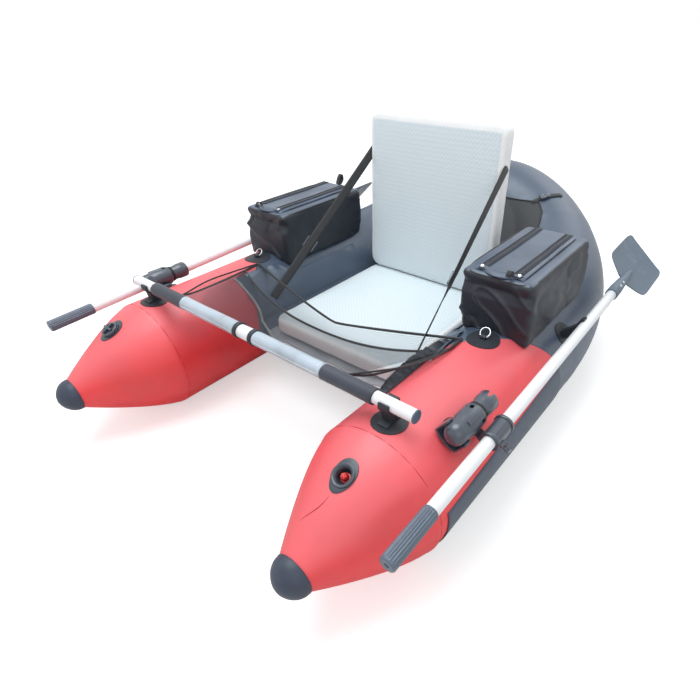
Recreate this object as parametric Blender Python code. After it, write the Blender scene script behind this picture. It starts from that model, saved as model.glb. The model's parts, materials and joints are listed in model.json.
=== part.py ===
"""Inflatable float tube with two stowed oars, rod holders, tackle bags and a folding seat.

The open end with the two noses looks along -Y and the raised stern along +Y.
It rests on the plane z = 0. Lengths are in metres.
"""

import math

import bmesh
import bpy
from mathutils import Matrix, Vector

# Gaps between pieces that touch
CLEAR = 0.0003
RUN_CLEAR = 0.0006
CUT_OVERRUN = 0.004
BISECTIONS = 24

# Hull tube
TUBE_RADIUS = 0.155
TUBE_SPACING = 0.83
STRAIGHT_LENGTH = 0.910
TUBE_SIDES = 32
NOSE_CONE_LENGTH = 0.2235
NOSE_SEAM_RADIUS = 0.0411
NOSE_CAP_LENGTH = 0.042
NOSE_CAP_WALL = 0.0012
NOSE_SHOULDER_SHARE = 1.31
NOSE_CAP_SHARES = ((0, 0), (1, 0), (0.95, 0.3), (0.84, 0.62), (0.66, 0.86), (0.36, 0.98), (0, 1))
BEND_LENGTH = 0.622
BEND_SIDE_HANDLE = 0.52
BEND_STERN_HANDLE = 0.125
STERN_RISE = 0.181
STERN_RISE_SHARE = 2.3
MITRE_BEFORE_BEND = 0.243
MITRE_SLOPE_SHARE = 0.956
MITRE_MARGIN_SHARE = 0.1
BEND_STEPS = 13
LINE_STEP = 0.008

# Lower rub band of each pontoon
RUB_THICKNESS = 0.002
RUB_START_FROM_NOSE = 0.287
RUB_TOP_ANGLE_FRONT = 9.0
RUB_TOP_ANGLE_REAR = 20.0
RUB_LOW_ANGLE = -78.0
RUB_ROWS = 18
RUB_COLUMNS = 3

# Glued fabric patches
PATCH_THICKNESS = 0.0015
BAR_PATCH_RADIUS = 0.0375
RING_PATCH_RADIUS = 0.041
MOUNT_PATCH_RADIUS = 0.028
KEEPER_PATCH_RADIUS = 0.032

# Inflation valves
VALVE_FROM_NOSE = 0.179
VALVE_FLANGE_RADIUS = 0.0305
VALVE_FLANGE_THICKNESS = 0.0022
VALVE_BODY_RADIUS = 0.0205
VALVE_DEPTH = 0.024
VALVE_LIP_RADIUS = 0.0235
VALVE_LIP_HEIGHT = 0.006
VALVE_WELL_RADIUS = 0.0155
VALVE_FLOOR = 0.004
POPPET_RADIUS = 0.0075
POPPET_TRAVEL = 0.004
VALVE_CAP_RADIUS = 0.0215
VALVE_CAP_THICKNESS = 0.005
VALVE_GRIP_HEIGHT = 0.007
VALVE_GRIP_WIDTH = 0.006

# Front crossbar
BAR_FROM_NOSE = 0.312
BAR_LIFT = 0.043
BAR_OVERHANG = 0.064
BAR_RADIUS = 0.0135
BAR_WALL = 0.002
BAR_RECESS = 0.02
FOAM_RADIUS = 0.0172
FOAM_LENGTH = 0.136
FOAM_SADDLE_GAP = 0.020
SLEEVE_RADIUS = 0.0172
SLEEVE_INNER_X = 0.033
BAR_RING_RADIUS = 0.0192
BAR_RING_WIDTH = 0.011
BAND_RADIUS = 0.0162
SADDLE_WIDTH = 0.024
SADDLE_WALL = 0.0055
SADDLE_FOOT_WIDTH = 0.046
SADDLE_FOOT_HEIGHT = 0.006
SADDLE_OPENING_ANGLE = 62.0

# Accessory rings on the pontoon tops
RING_BEFORE_BEND = 0.243
RING_RADIUS = 0.0125
RING_WIRE_RADIUS = 0.0019
RING_LEAN_ANGLE = 40.0
TAB_WIDTH = 0.014
TAB_LENGTH = 0.012
TAB_HEIGHT = 0.0095
TAB_BORE_RADIUS = 0.0024
TAB_BORE_HEIGHT = 0.0052

# Oar mounts with their rod holders
MOUNT_ANGLE = 52.0
MOUNT_FROM_NOSE = 0.392
MOUNT_FOOT_RADIUS = 0.022
MOUNT_FOOT_HEIGHT = 0.0045
MOUNT_PIN_RADIUS = 0.007
MOUNT_PIN_HEIGHT = 0.0035
PLATE_THICKNESS = 0.0055
PLATE_RADIUS = 0.0235
EAR_THICKNESS = 0.0035
EAR_GAP = 0.0008
EAR_HALF = 0.010
TILT_AHEAD = 0.030
BARREL_HEIGHT = 0.040
BARREL_RADIUS = 0.0265
BARREL_DOME_RADIUS = 0.0245
BARREL_BORE_RADIUS = 0.0175
BARREL_LENGTH = 0.0645
BARREL_BORE_START = 0.008
DOME_SHARES = ((0.0, 1.0), (0.42, 0.97), (0.74, 0.82), (0.93, 0.52), (1.0, 0.12))
PIVOT_PIN_RADIUS = 0.005
PIVOT_PIN_DEPTH = 0.0035
WINDOW_WIDTH = 0.008
WINDOW_ANGLE = 42.0
WINDOW_LENGTH = 0.010
NECK_RADIUS = 0.0205
NECK_LENGTH = 0.0035
SOCKET_LENGTH = 0.050
SOCKET_RADIUS = 0.0228
SOCKET_WAIST_RADIUS = 0.0208
NOTCH_WIDTH = 0.012
NOTCH_DEPTH = 0.010

# Oar clamps
OAR_OFFSET_HEIGHT = 0.050
OAR_OFFSET_SIDE = 0.053
CLAMP_AFT = 0.038
OAR_PITCH_ANGLE = 2.03
CLAMP_LENGTH = 0.062
CLAMP_WALL = 0.0052
CLAMP_SPLIT_GAP = 0.0012
ARM_WIDTH = 0.022
CAP_EAR_LENGTH = 0.013
CAP_EAR_THICKNESS = 0.0045
KNOB_RADIUS = 0.0082
KNOB_LENGTH = 0.011
KNOB_STEM_RADIUS = 0.003
KNOB_STEM_LENGTH = 0.003
KNOB_AHEAD = 0.012

# Oars
SHAFT_RADIUS = 0.0135
ROD_SIDES = 16
SHAFT_FRONT = 0.221
SHAFT_REAR = 0.651
GRIP_LENGTH = 0.117
GRIP_RADIUS = 0.0156
GRIP_FLUTE_DEPTH = 0.0009
GRIP_FLUTES = 12
GRIP_COLLAR = 0.006
GRIP_END_THICKNESS = 0.005
SOCKET_TUBE_RADIUS = 0.0168
SOCKET_TUBE_FRONT = 0.012
SPINE_LENGTH = 0.155
SPINE_TIP_RADIUS = 0.006
BLADE_LENGTH = 0.212
BLADE_START = 0.089
BLADE_WIDTH = 0.158
BLADE_THICKNESS = 0.0042
BLADE_DISH = 0.005
BLADE_ROLL_ANGLE = 42.0
BLADE_SHARES = (
    (0.0, 0.30), (0.05, 0.56), (0.12, 0.84), (0.2, 0.97), (0.32, 1.0), (0.6, 1.0), (0.86, 1.0), (0.96, 0.95), (1.0, 0.82),
)

# Oar keepers near the bend
KEEPER_BEFORE_BEND = 0.025
KEEPER_LENGTH = 0.020
KEEPER_WALL = 0.0045
KEEPER_FOOT_WIDTH = 0.020
KEEPER_FLOOR_ANGLE = -99.0
KEEPER_WRAP_ANGLE = 28.0

# Seat sling between the pontoons
SLING_FRONT_MARGIN = 0.020
SLING_REAR_MARGIN = 0.010
SLING_THICKNESS = 0.003
SLING_ROWS = 5
SLING_SPANS = 4
SLING_HEIGHT = 0.1485
SLING_TOP_ANGLE = 136.0
SLING_FRONT_ANGLE = 121.0
SLING_FRONT_SHARE = 0.24
SLING_SHARES = (0.0, 0.12, 0.24, 0.267, 0.293, 0.32, 0.54, 0.77, 1.0)
SLING_STEP_SHARE = 0.08
SLING_LOW_ANGLE = 168.0

# Seat cushion and backrest
SEAT_SIDE_GAP = 0.035
SEAT_LENGTH = 0.515
SEAT_THICKNESS = 0.05
SEAT_FRONT_BEFORE_BEND = 0.355
SEAT_CORNER = 0.045
SEAT_EDGE = 0.014
SEAT_CROWN = 0.004
BACK_HEIGHT = 0.483
BACK_SIDE_GAP = 0.028
BACK_THICKNESS = 0.0555
BACK_FROM_SEAT_END = 0.0592
BACK_RECLINE_ANGLE = 4.4
BACK_CORNER = 0.026

# Straps from the backrest to the hull
STRAP_WIDTH = 0.024
STRAP_THICKNESS = 0.0022
STRAP_TOP_SHARE = 0.815
STRAP_ANCHOR_BEFORE_BEND = 0.272
STRAP_ANCHOR_ANGLE = 134.0

# Stripping apron behind the crossbar
APRON_FRONT_OVERLAP = 0.030
APRON_HEM_OVERLAP = 0.111
APRON_HEM_BEFORE_BEND = 0.327
APRON_HEM_DROP = 0.0027
APRON_HEM_SAG = 0.060
APRON_HEM_BOW = 0.048
APRON_RIM_OVERLAP = 0.115
APRON_RIM_BEFORE_BEND = 0.272
APRON_RIM_DROP = 0.0007
APRON_RIM_SAG = 0.066
APRON_RIM_BOW = 0.054
NET_THICKNESS = 0.002
NET_COLUMNS = 12
NET_ROWS = 4
NET_STRAND = 0.004
NET_MARGIN = 0.018
NET_SAG = 0.020
PIPING_RADIUS = 0.0034

# Tackle bags
BAG_WIDTH = 0.188
BAG_LENGTH = 0.358
BAG_HEIGHT = 0.152
BAG_INSET = 0.007
BAG_FRONT_BEFORE_BEND = 0.197
BAG_CORNER = 0.026
BAG_BULGE = 0.007
BAG_DIP = 0.012
BAG_MOUTH_WIDTH = 0.106
BAG_MOUTH_LENGTH = 0.285
BAG_MOUTH_REAR_MARGIN = 0.038
BAG_MOUTH_CORNER = 0.003
BAG_POCKET_DEPTH = 0.108
BAG_LID_OVERLAP = 0.007
BAG_LID_THICKNESS = 0.005

# Cargo deck behind the seat
CARGO_LENGTH = 0.305
CARGO_REAR_HEIGHT = 0.402
CARGO_WIDTH_FRONT = 0.50
CARGO_WIDTH_REAR = 0.39
CARGO_THICKNESS = 0.003
CARGO_SAG = 0.014
CARGO_HULL_GAP = 0.0006
CARGO_ROWS = 7
CARGO_TRIM_SHARE = 0.005
CARGO_SHARES = (-1.0, -0.5, 0.0, 0.5, 1.0)
CARGO_STRAP_WIDTH = 0.018
CARGO_STRAP_LENGTH = 0.115
CARGO_STRAP_ANGLE = 60.0
CARGO_STRAP_STEPS = 8
CARGO_STRAP_SHARE = 0.6

# Places that follow from the sizes above
HULL_LENGTH = STRAIGHT_LENGTH + BEND_LENGTH + TUBE_RADIUS
NOSE_Y = -HULL_LENGTH / 2
TUBE_X = TUBE_SPACING / 2
TUBE_TOP = 2 * TUBE_RADIUS
INNER_WIDTH = TUBE_SPACING - 2 * TUBE_RADIUS
SEAM_Y = NOSE_Y + NOSE_CAP_LENGTH
TAPER_Y = SEAM_Y + NOSE_CONE_LENGTH
BEND_Y = NOSE_Y + STRAIGHT_LENGTH
STERN_Y = BEND_Y + BEND_LENGTH
MITRE_Y = BEND_Y - MITRE_BEFORE_BEND
VALVE_Y = NOSE_Y + VALVE_FROM_NOSE
BAR_Y = NOSE_Y + BAR_FROM_NOSE
BAR_HEIGHT = TUBE_TOP + BAR_LIFT
BAR_LENGTH = TUBE_SPACING + 2 * BAR_OVERHANG
FOAM_OUTER_X = TUBE_X - SADDLE_WIDTH / 2 - FOAM_SADDLE_GAP
FOAM_INNER_X = FOAM_OUTER_X - FOAM_LENGTH
RING_Y = BEND_Y - RING_BEFORE_BEND
MOUNT_Y = NOSE_Y + MOUNT_FROM_NOSE
KEEPER_Y = BEND_Y - KEEPER_BEFORE_BEND
SEAT_Y = BEND_Y - SEAT_FRONT_BEFORE_BEND
SLING_Y = SEAT_Y - SLING_FRONT_MARGIN
SLING_LENGTH = SEAT_LENGTH + SLING_FRONT_MARGIN + SLING_REAR_MARGIN
SEAT_WIDTH = INNER_WIDTH - 2 * SEAT_SIDE_GAP
SEAT_BASE = SLING_HEIGHT + SLING_THICKNESS + CLEAR
SEAT_TOP = SEAT_BASE + SEAT_THICKNESS
BACK_Y = SEAT_Y + SEAT_LENGTH - BACK_FROM_SEAT_END
BACK_BASE = SEAT_TOP + SEAT_CROWN + CLEAR
BACK_WIDTH = INNER_WIDTH - 2 * BACK_SIDE_GAP
ANCHOR_Y = BEND_Y - STRAP_ANCHOR_BEFORE_BEND
APRON_WIDTH_FRONT = INNER_WIDTH + 2 * APRON_FRONT_OVERLAP
HEM_Y = BEND_Y - APRON_HEM_BEFORE_BEND
APRON_HEM_WIDTH = INNER_WIDTH + 2 * APRON_HEM_OVERLAP
APRON_HEM_HEIGHT = TUBE_TOP - APRON_HEM_DROP
RIM_Y = BEND_Y - APRON_RIM_BEFORE_BEND
APRON_RIM_WIDTH = INNER_WIDTH + 2 * APRON_RIM_OVERLAP
APRON_RIM_HEIGHT = TUBE_TOP - APRON_RIM_DROP
BAG_Y = BEND_Y - BAG_FRONT_BEFORE_BEND
BAG_CENTRE_X = TUBE_X - BAG_INSET
SIDES = (("right", 1), ("left", -1))

COLOURS = {
    "red_pvc": ((0.78, 0.018, 0.028), 0.28, 0.0),
    "dark_pvc": ((0.068, 0.074, 0.088), 0.42, 0.0),
    "black_rubber": ((0.018, 0.019, 0.021), 0.5, 0.0),
    "black_plastic": ((0.035, 0.04, 0.046), 0.38, 0.0),
    "black_fabric": ((0.022, 0.023, 0.027), 0.75, 0.0),
    "grey_fabric": ((0.33, 0.35, 0.36), 0.7, 0.0),
    "seat_pvc": ((0.76, 0.81, 0.82), 0.5, 0.0),
    "white_metal": ((0.9, 0.9, 0.91), 0.25, 0.3),
    "silver_sleeve": ((0.55, 0.58, 0.6), 0.35, 0.2),
    "foam": ((0.02, 0.02, 0.022), 0.9, 0.0),
    "steel": ((0.7, 0.71, 0.72), 0.2, 1.0),
    "blade_plastic": ((0.13, 0.15, 0.165), 0.45, 0.0),
    "red_plastic": ((0.72, 0.02, 0.02), 0.35, 0.0),
}


def material(name):
    found = bpy.data.materials.get(name)
    if found:
        return found
    colour, roughness, metallic = COLOURS[name]
    made = bpy.data.materials.new(name)
    made.use_nodes = True
    shader = made.node_tree.nodes["Principled BSDF"]
    shader.inputs["Base Color"].default_value = (*colour, 1.0)
    shader.inputs["Roughness"].default_value = roughness
    shader.inputs["Metallic"].default_value = metallic
    made.diffuse_color = (*colour, 1.0)
    return made


def add(name, points, faces, paint, origin=None, parent=None, sharp=35.0):
    """One closed solid from world points, with its object's origin where it turns or sits."""
    origin = Vector(origin) if origin is not None else sum(points, Vector()) / len(points)
    mesh = bpy.data.meshes.new(name)
    mesh.from_pydata([tuple(p - origin) for p in points], [], faces)
    work = bmesh.new()
    work.from_mesh(mesh)
    bmesh.ops.recalc_face_normals(work, faces=work.faces)
    if work.calc_volume(signed=True) < 0:
        bmesh.ops.reverse_faces(work, faces=work.faces)
    work.to_mesh(mesh)
    work.free()
    mesh.materials.append(material(paint))
    mesh.shade_smooth()
    mesh.set_sharp_from_angle(angle=math.radians(sharp))
    made = bpy.data.objects.new(name, mesh)
    bpy.context.scene.collection.objects.link(made)
    made.location = origin
    if parent:
        made.parent = parent
        made.matrix_parent_inverse = parent.matrix_world.inverted()
    return made


def empty(name, place, turn=None, parent=None):
    made = bpy.data.objects.new(name, None)
    made.empty_display_size = TUBE_RADIUS
    made.matrix_world = Matrix.Translation(place) @ (turn.to_4x4() if turn else Matrix())
    bpy.context.scene.collection.objects.link(made)
    bpy.context.view_layer.update()
    if parent:
        made.parent = parent
        made.matrix_parent_inverse = parent.matrix_world.inverted()
        bpy.context.view_layer.update()
    return made


def combine(target, tool, operation):
    """A Boolean of tool into target, with the tool kept out of the render."""
    cut = target.modifiers.new(tool.name, "BOOLEAN")
    cut.operation = operation
    cut.solver = "EXACT"
    cut.object = tool
    tool.hide_render = True
    tool.display_type = "WIRE"
    return target


def fuse(target, tool):
    """Joins tool into target for good, so that the two are one solid."""
    combine(target, tool, "UNION")
    settle(target)
    bpy.data.objects.remove(tool)
    return target


def carve(target, tool):
    """Cuts tool out of target for good."""
    combine(target, tool, "DIFFERENCE")
    settle(target)
    bpy.data.objects.remove(tool)
    return target


def settle(target):
    bpy.context.view_layer.update()
    graph = bpy.context.evaluated_depsgraph_get()
    done = bpy.data.meshes.new_from_object(target.evaluated_get(graph))
    target.modifiers.clear()
    target.data = done
    done.shade_smooth()
    done.set_sharp_from_angle(angle=math.radians(35.0))


def skin(rings, closed=False):
    """Points and faces of a loft through rings of equal count, capped at both ends or joined."""
    count = len(rings[0])
    points = [Vector(p) for ring in rings for p in ring]
    faces = []
    steps = len(rings) if closed else len(rings) - 1
    for i in range(steps):
        a = i * count
        b = ((i + 1) % len(rings)) * count
        for j in range(count):
            k = (j + 1) % count
            faces.append((a + j, a + k, b + k, b + j))
    if not closed:
        faces.append(tuple(range(count)))
        faces.append(tuple(range(len(points) - count, len(points))))
    return points, faces


class Place:
    """A local frame: a point and three unit directions."""

    def __init__(self, origin, ex, ey, ez):
        self.o = Vector(origin)
        self.x = Vector(ex).normalized()
        self.y = Vector(ey).normalized()
        self.z = Vector(ez).normalized()

    def at(self, x, y, z):
        return self.o + self.x * x + self.y * y + self.z * z

    def moved(self, x, y, z):
        return Place(self.at(x, y, z), self.x, self.y, self.z)


def turned(place, profile, sides):
    """Points and faces of a profile of (radius, height) turned round the frame's z axis."""
    points = []
    faces = []
    rows = []
    for radius, height in profile:
        if radius <= 0:
            rows.append([len(points)])
            points.append(place.at(0, 0, height))
            continue
        row = []
        for i in range(sides):
            turn = 2 * math.pi * i / sides
            row.append(len(points))
            points.append(place.at(radius * math.cos(turn), radius * math.sin(turn), height))
        rows.append(row)
    pairs = list(zip(rows, rows[1:]))
    if len(rows[0]) > 1:
        pairs.append((rows[-1], rows[0]))
    for a, b in pairs:
        for i in range(sides):
            j = (i + 1) % sides
            if len(a) == 1 and len(b) == 1:
                break
            if len(a) == 1:
                faces.append((a[0], b[i], b[j]))
            elif len(b) == 1:
                faces.append((a[i], a[j], b[0]))
            else:
                faces.append((a[i], a[j], b[j], b[i]))
    return points, faces


def prism(place, outline, low, high):
    """Points and faces of an outline in the frame's x and y, extruded along z."""
    rings = [[place.at(x, y, level) for x, y in outline] for level in (low, high)]
    return skin(rings)


def block(place, x, y, z):
    """Points and faces of a box between the pairs x, y and z."""
    return prism(place, [(x[0], y[0]), (x[1], y[0]), (x[1], y[1]), (x[0], y[1])], z[0], z[1])


def rounded(half_x, half_y, corner, steps, centre_x=0.0, centre_y=0.0):
    """Outline of a rectangle with round corners."""
    outline = []
    for sx, sy, start in ((1, 1, 0), (-1, 1, 90), (-1, -1, 180), (1, -1, 270)):
        for i in range(steps + 1):
            turn = math.radians(start + 90 * i / steps)
            x = centre_x + sx * (half_x - corner) + corner * math.cos(turn)
            y = centre_y + sy * (half_y - corner) + corner * math.sin(turn)
            outline.append((x, y))
    return outline


def arc(radius, start, end, steps, centre=(0.0, 0.0)):
    """Points of an arc between two angles in degrees."""
    points = []
    for i in range(steps + 1):
        turn = math.radians(start + (end - start) * i / steps)
        points.append((centre[0] + radius * math.cos(turn), centre[1] + radius * math.sin(turn)))
    return points


def tube_radius(y):
    """Radius of a pontoon at y, with its drawn-in nose."""
    if y >= TAPER_Y:
        return TUBE_RADIUS
    share = (TAPER_Y - y) / NOSE_CONE_LENGTH
    return TUBE_RADIUS - (TUBE_RADIUS - NOSE_SEAM_RADIUS) * share**NOSE_SHOULDER_SHARE


def on_tube(side, y, angle, lift=0.0):
    """A point on a pontoon, with the angle up from its outer side."""
    reach = tube_radius(y) + lift
    turn = math.radians(angle)
    x = TUBE_X + reach * math.cos(turn)
    return Vector((side * x, y, TUBE_RADIUS + reach * math.sin(turn)))


def bend_point(share):
    """The stern's centre line, from the right bend's start at 0 to the middle at 1."""
    rest = 1 - share
    start_y = BEND_Y
    x = TUBE_X * (rest**3 + 3 * share * rest**2) + BEND_STERN_HANDLE * 3 * share**2 * rest
    y = start_y * rest**3 + (start_y + BEND_SIDE_HANDLE) * 3 * share * rest**2
    y += STERN_Y * (3 * share**2 * rest + share**3)
    z = TUBE_RADIUS + STERN_RISE * (1 - rest**2) ** STERN_RISE_SHARE
    return Vector((x, y, z))


def centre_line(count):
    """Centre points of the right half of the hull, from behind the mitre to the stern."""
    straight = MITRE_Y + TUBE_RADIUS * (MITRE_SLOPE_SHARE + MITRE_MARGIN_SHARE)
    points = [Vector((TUBE_X, straight, TUBE_RADIUS))]
    points += [bend_point(i / count) for i in range(count + 1)]
    return points


STERN_LINE = centre_line(BEND_STEPS)


def hull_line():
    """Close centre points along the right half's straight spans, from the nose to the stern."""
    corners = [Vector((TUBE_X, NOSE_Y, TUBE_RADIUS))] + STERN_LINE
    points = []
    for before, after in zip(corners, corners[1:]):
        steps = max(2, round((after - before).length / LINE_STEP))
        points += [before.lerp(after, i / steps) for i in range(steps)]
    return points + [corners[-1]]


HULL_LINE = hull_line()


def hull_gap(point):
    """Distance from a point to the hull's surface."""
    p = Vector((abs(point[0]), point[1], point[2]))
    return min((p - centre).length - tube_radius(centre.y) for centre in HULL_LINE)


def hull_side(y, z, gap):
    """The x at which the hull's inner side is the given gap away, at one y and height."""
    low = 0.0
    high = TUBE_X
    for _ in range(BISECTIONS):
        middle = (low + high) / 2
        if hull_gap((middle, y, z)) > gap:
            low = middle
        else:
            high = middle
    return low


def hull_ring(line, i, radius):
    """One ring of the tube round point i of a centre line, square to the line there."""
    ahead = line[min(i + 1, len(line) - 1)] - line[max(i - 1, 0)]
    if i == 0:
        ahead = Vector((0, 1, 0))
    if i == len(line) - 1:
        ahead = Vector((0, -1, 0)) if line[i].x < 0 else ahead
    ahead.normalize()
    out = ahead.cross(Vector((0, 0, 1))).normalized()
    up = out.cross(ahead).normalized()
    turns = [math.radians(360.0 * j / TUBE_SIDES) for j in range(TUBE_SIDES)]
    return [line[i] + (out * math.cos(t) + up * math.sin(t)) * radius for t in turns]


def carve_hull(target, side):
    """Cuts the stern tube's swept shape, and a hair more, out of what sits on it."""
    start = Vector((TUBE_X, TAPER_Y, TUBE_RADIUS))
    line = [start] + STERN_LINE[: 2 * BEND_STEPS // 3]
    rings = [hull_ring(line, i, TUBE_RADIUS + 2 * CLEAR) for i in range(len(line))]
    rings = [[Vector((side * p.x, p.y, p.z)) for p in ring] for ring in rings]
    return carve(target, add("hull_cut", *skin(rings), "dark_pvc"))


def patch(side, y, angle, radius, inner=0.0, thickness=PATCH_THICKNESS, rings=3, sides=20):
    """Points and faces of a round patch that lies on a pontoon, with an optional hole."""
    spread = [inner + (radius - inner) * i / rings for i in range(rings + 1)]

    def spot(reach, turn, lift):
        along = y + reach * math.cos(turn)
        near = tube_radius(along) + CLEAR
        around = math.degrees(reach * math.sin(turn) / near)
        return on_tube(side, along, angle + around, CLEAR + lift)

    layers = []
    for lift, order in ((0.0, spread), (thickness, spread[::-1])):
        for reach in order:
            if reach <= 0:
                layers.append([spot(0.0, 0.0, lift)])
            else:
                layers.append([spot(reach, 2 * math.pi * i / sides, lift) for i in range(sides)])
    points = []
    rows = []
    for layer in layers:
        rows.append(list(range(len(points), len(points) + len(layer))))
        points += layer
    faces = []
    pairs = list(zip(rows, rows[1:]))
    if inner > 0:
        pairs.append((rows[-1], rows[0]))
    for a, b in pairs:
        if len(a) == 1 and len(b) == 1:
            continue
        for i in range(sides):
            j = (i + 1) % sides
            if len(a) == 1:
                faces.append((a[0], b[i], b[j]))
            elif len(b) == 1:
                faces.append((a[i], a[j], b[0]))
            else:
                faces.append((a[i], a[j], b[j], b[i]))
    return points, faces


def make_pontoon(name, side, hull):
    """Red front tube: mitre cut behind, straight run, then the drawn-in nose."""
    rings = []
    turns = [360.0 * i / TUBE_SIDES for i in range(TUBE_SIDES)]
    ring = []
    for turn in turns:
        point = on_tube(side, 0, turn)
        point.y = MITRE_Y + MITRE_SLOPE_SHARE * (abs(point.x) - TUBE_X) - CLEAR / 2
        ring.append(point)
    rings.append(ring)
    first = MITRE_Y - MITRE_SLOPE_SHARE * TUBE_RADIUS - TUBE_RADIUS / 4
    stations = [first, (first + TAPER_Y) / 2, TAPER_Y]
    steps = 8
    stations += [TAPER_Y - NOSE_CONE_LENGTH * i / steps for i in range(1, steps + 1)]
    for y in stations:
        rings.append([on_tube(side, y, turn) for turn in turns])
    points, faces = skin(rings)
    made = add(name, points, faces, "red_pvc", on_tube(side, MITRE_Y, 90, -TUBE_RADIUS), hull)
    frame = valve_place(side)
    pocket = [(0, -VALVE_DEPTH - CLEAR), (VALVE_BODY_RADIUS + CLEAR, -VALVE_DEPTH - CLEAR)]
    pocket += [(VALVE_BODY_RADIUS + CLEAR, VALVE_DEPTH), (0, VALVE_DEPTH)]
    return carve(made, add("pocket", *turned(frame, pocket, 20), "red_pvc"))


def make_rear_tube(hull):
    """Dark stern tube in one bend from mitre to mitre, rising towards the stern."""
    line = STERN_LINE + [Vector((-p.x, p.y, p.z)) for p in STERN_LINE[-2::-1]]
    turns = [math.radians(360.0 * i / TUBE_SIDES) for i in range(TUBE_SIDES)]

    def mitre(side, order):
        ring = []
        for turn in order:
            x = TUBE_X + side * TUBE_RADIUS * math.cos(turn)
            y = MITRE_Y + MITRE_SLOPE_SHARE * (x - TUBE_X) + CLEAR / 2
            ring.append(Vector((side * x, y, TUBE_RADIUS + TUBE_RADIUS * math.sin(turn))))
        return ring

    rings = [mitre(1, turns)]
    rings += [hull_ring(line, i, TUBE_RADIUS) for i in range(len(line))]
    rings.append(mitre(-1, turns))
    points, faces = skin(rings)
    return add("rear_tube", points, faces, "dark_pvc", (0, 0, 0), hull)


def make_nose_cap(name, side, hull):
    centre = Vector((side * TUBE_X, SEAM_Y - CLEAR, TUBE_RADIUS))
    frame = Place(centre, (1, 0, 0), (0, 0, 1), (0, -1, 0))
    rim = NOSE_SEAM_RADIUS + NOSE_CAP_WALL
    length = NOSE_CAP_LENGTH - CLEAR
    profile = [(rim * a, length * b) for a, b in NOSE_CAP_SHARES]
    return add(name, *turned(frame, profile, 20), "black_rubber", centre, hull)


def make_rub_band(name, side, hull):
    """Dark wear strip on the lower outer side, from behind the nose to the mitre."""
    front = NOSE_Y + RUB_START_FROM_NOSE
    rings = []
    for i in range(RUB_COLUMNS + 1):
        share = i / RUB_COLUMNS
        top = RUB_TOP_ANGLE_FRONT + (RUB_TOP_ANGLE_REAR - RUB_TOP_ANGLE_FRONT) * share
        low_layer = []
        high_layer = []
        for j in range(RUB_ROWS + 1):
            angle = top + (RUB_LOW_ANGLE - top) * j / RUB_ROWS
            reach = TUBE_RADIUS * math.cos(math.radians(angle))
            rear = MITRE_Y + MITRE_SLOPE_SHARE * reach - CLEAR
            y = front + (rear - front) * share
            low_layer.append(on_tube(side, y, angle, CLEAR))
            high_layer.append(on_tube(side, y, angle, CLEAR + RUB_THICKNESS))
        rings.append(low_layer + high_layer[::-1])
    points, faces = skin(rings)
    return add(name, points, faces, "dark_pvc", None, hull)


def valve_place(side):
    """Frame of a valve: z out of the nose's top, y towards the front."""
    here = on_tube(side, VALVE_Y, 90)
    ahead = on_tube(side, VALVE_Y - VALVE_BODY_RADIUS, 90)
    along = (ahead - here).normalized()
    out = Vector((1, 0, 0)).cross(along).normalized()
    if out.z < 0:
        out = -out
    return Place(here, (side, 0, 0), along, out)


def make_valve(name, side, hull):
    frame = valve_place(side)
    ring_inner = VALVE_BODY_RADIUS - CLEAR
    flange = add(
        name,
        *patch(side, VALVE_Y, 90, VALVE_FLANGE_RADIUS, ring_inner, VALVE_FLANGE_THICKNESS, 1, 20),
        "black_rubber",
        frame.o,
        hull,
    )
    lip = VALVE_LIP_RADIUS
    well = VALVE_WELL_RADIUS
    top = VALVE_LIP_HEIGHT
    profile = [
        (0, -VALVE_DEPTH),
        (VALVE_BODY_RADIUS, -VALVE_DEPTH),
        (VALVE_BODY_RADIUS, top / 2),
        (lip, top * 0.8),
        (lip * 0.97, top),
        ((lip + well) / 2, top * 0.95),
        (well * 1.08, top * 0.6),
        (well, top * 0.1),
        (well, VALVE_FLOOR - VALVE_DEPTH),
        (0, VALVE_FLOOR - VALVE_DEPTH),
    ]
    body = add(name + "_body", *turned(frame, profile, 20), "black_rubber", frame.o)
    return fuse(flange, body)


def make_poppet(name, side, hull):
    """Red spring poppet in the open valve's well."""
    frame = valve_place(side)
    floor = VALVE_FLOOR - VALVE_DEPTH
    foot = floor + POPPET_TRAVEL + CLEAR
    disc = VALVE_WELL_RADIUS - RUN_CLEAR
    rim = POPPET_RADIUS
    step = VALVE_FLOOR / 2
    profile = [(0, foot), (disc, foot), (disc, foot + step), (rim, foot + step), (rim, -step / 4), (rim * 0.7, 0), (0, 0)]
    return add(name, *turned(frame, profile, 16), "red_plastic", frame.at(0, 0, foot), hull)


def make_valve_cap(name, side, hull):
    """Screwed cap of the closed valve with its cross grip."""
    frame = valve_place(side).moved(0, 0, VALVE_LIP_HEIGHT + CLEAR)
    rim = VALVE_CAP_RADIUS
    top = VALVE_CAP_THICKNESS
    plug = VALVE_WELL_RADIUS - RUN_CLEAR
    plug_depth = VALVE_DEPTH / 3
    profile = [(0, -plug_depth), (plug, -plug_depth), (plug, 0), (rim, 0), (rim, top * 0.7), (rim * 0.94, top), (0, top)]
    cap = add(name, *turned(frame, profile, 16), "black_rubber", frame.o, hull)
    reach = rim * 0.8
    half = VALVE_GRIP_WIDTH / 2
    for sx, sy in ((reach, half), (half, reach)):
        low = top / 2
        bar = add("grip_bar", *block(frame, (-sx, sx), (-sy, sy), (low, top + VALVE_GRIP_HEIGHT)), "black_rubber")
        fuse(cap, bar)
    return cap


def bar_place():
    return Place((0, BAR_Y, BAR_HEIGHT), (0, 1, 0), (0, 0, 1), (1, 0, 0))


def sleeve(name, low, high, radius, inner, paint, parent, sides=20):
    """A tube along the crossbar between two x places."""
    frame = bar_place()
    profile = [(inner, low), (radius, low), (radius, high), (inner, high)]
    middle = frame.at(0, 0, (low + high) / 2)
    return add(name, *turned(frame, profile, sides), paint, middle, parent)


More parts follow.
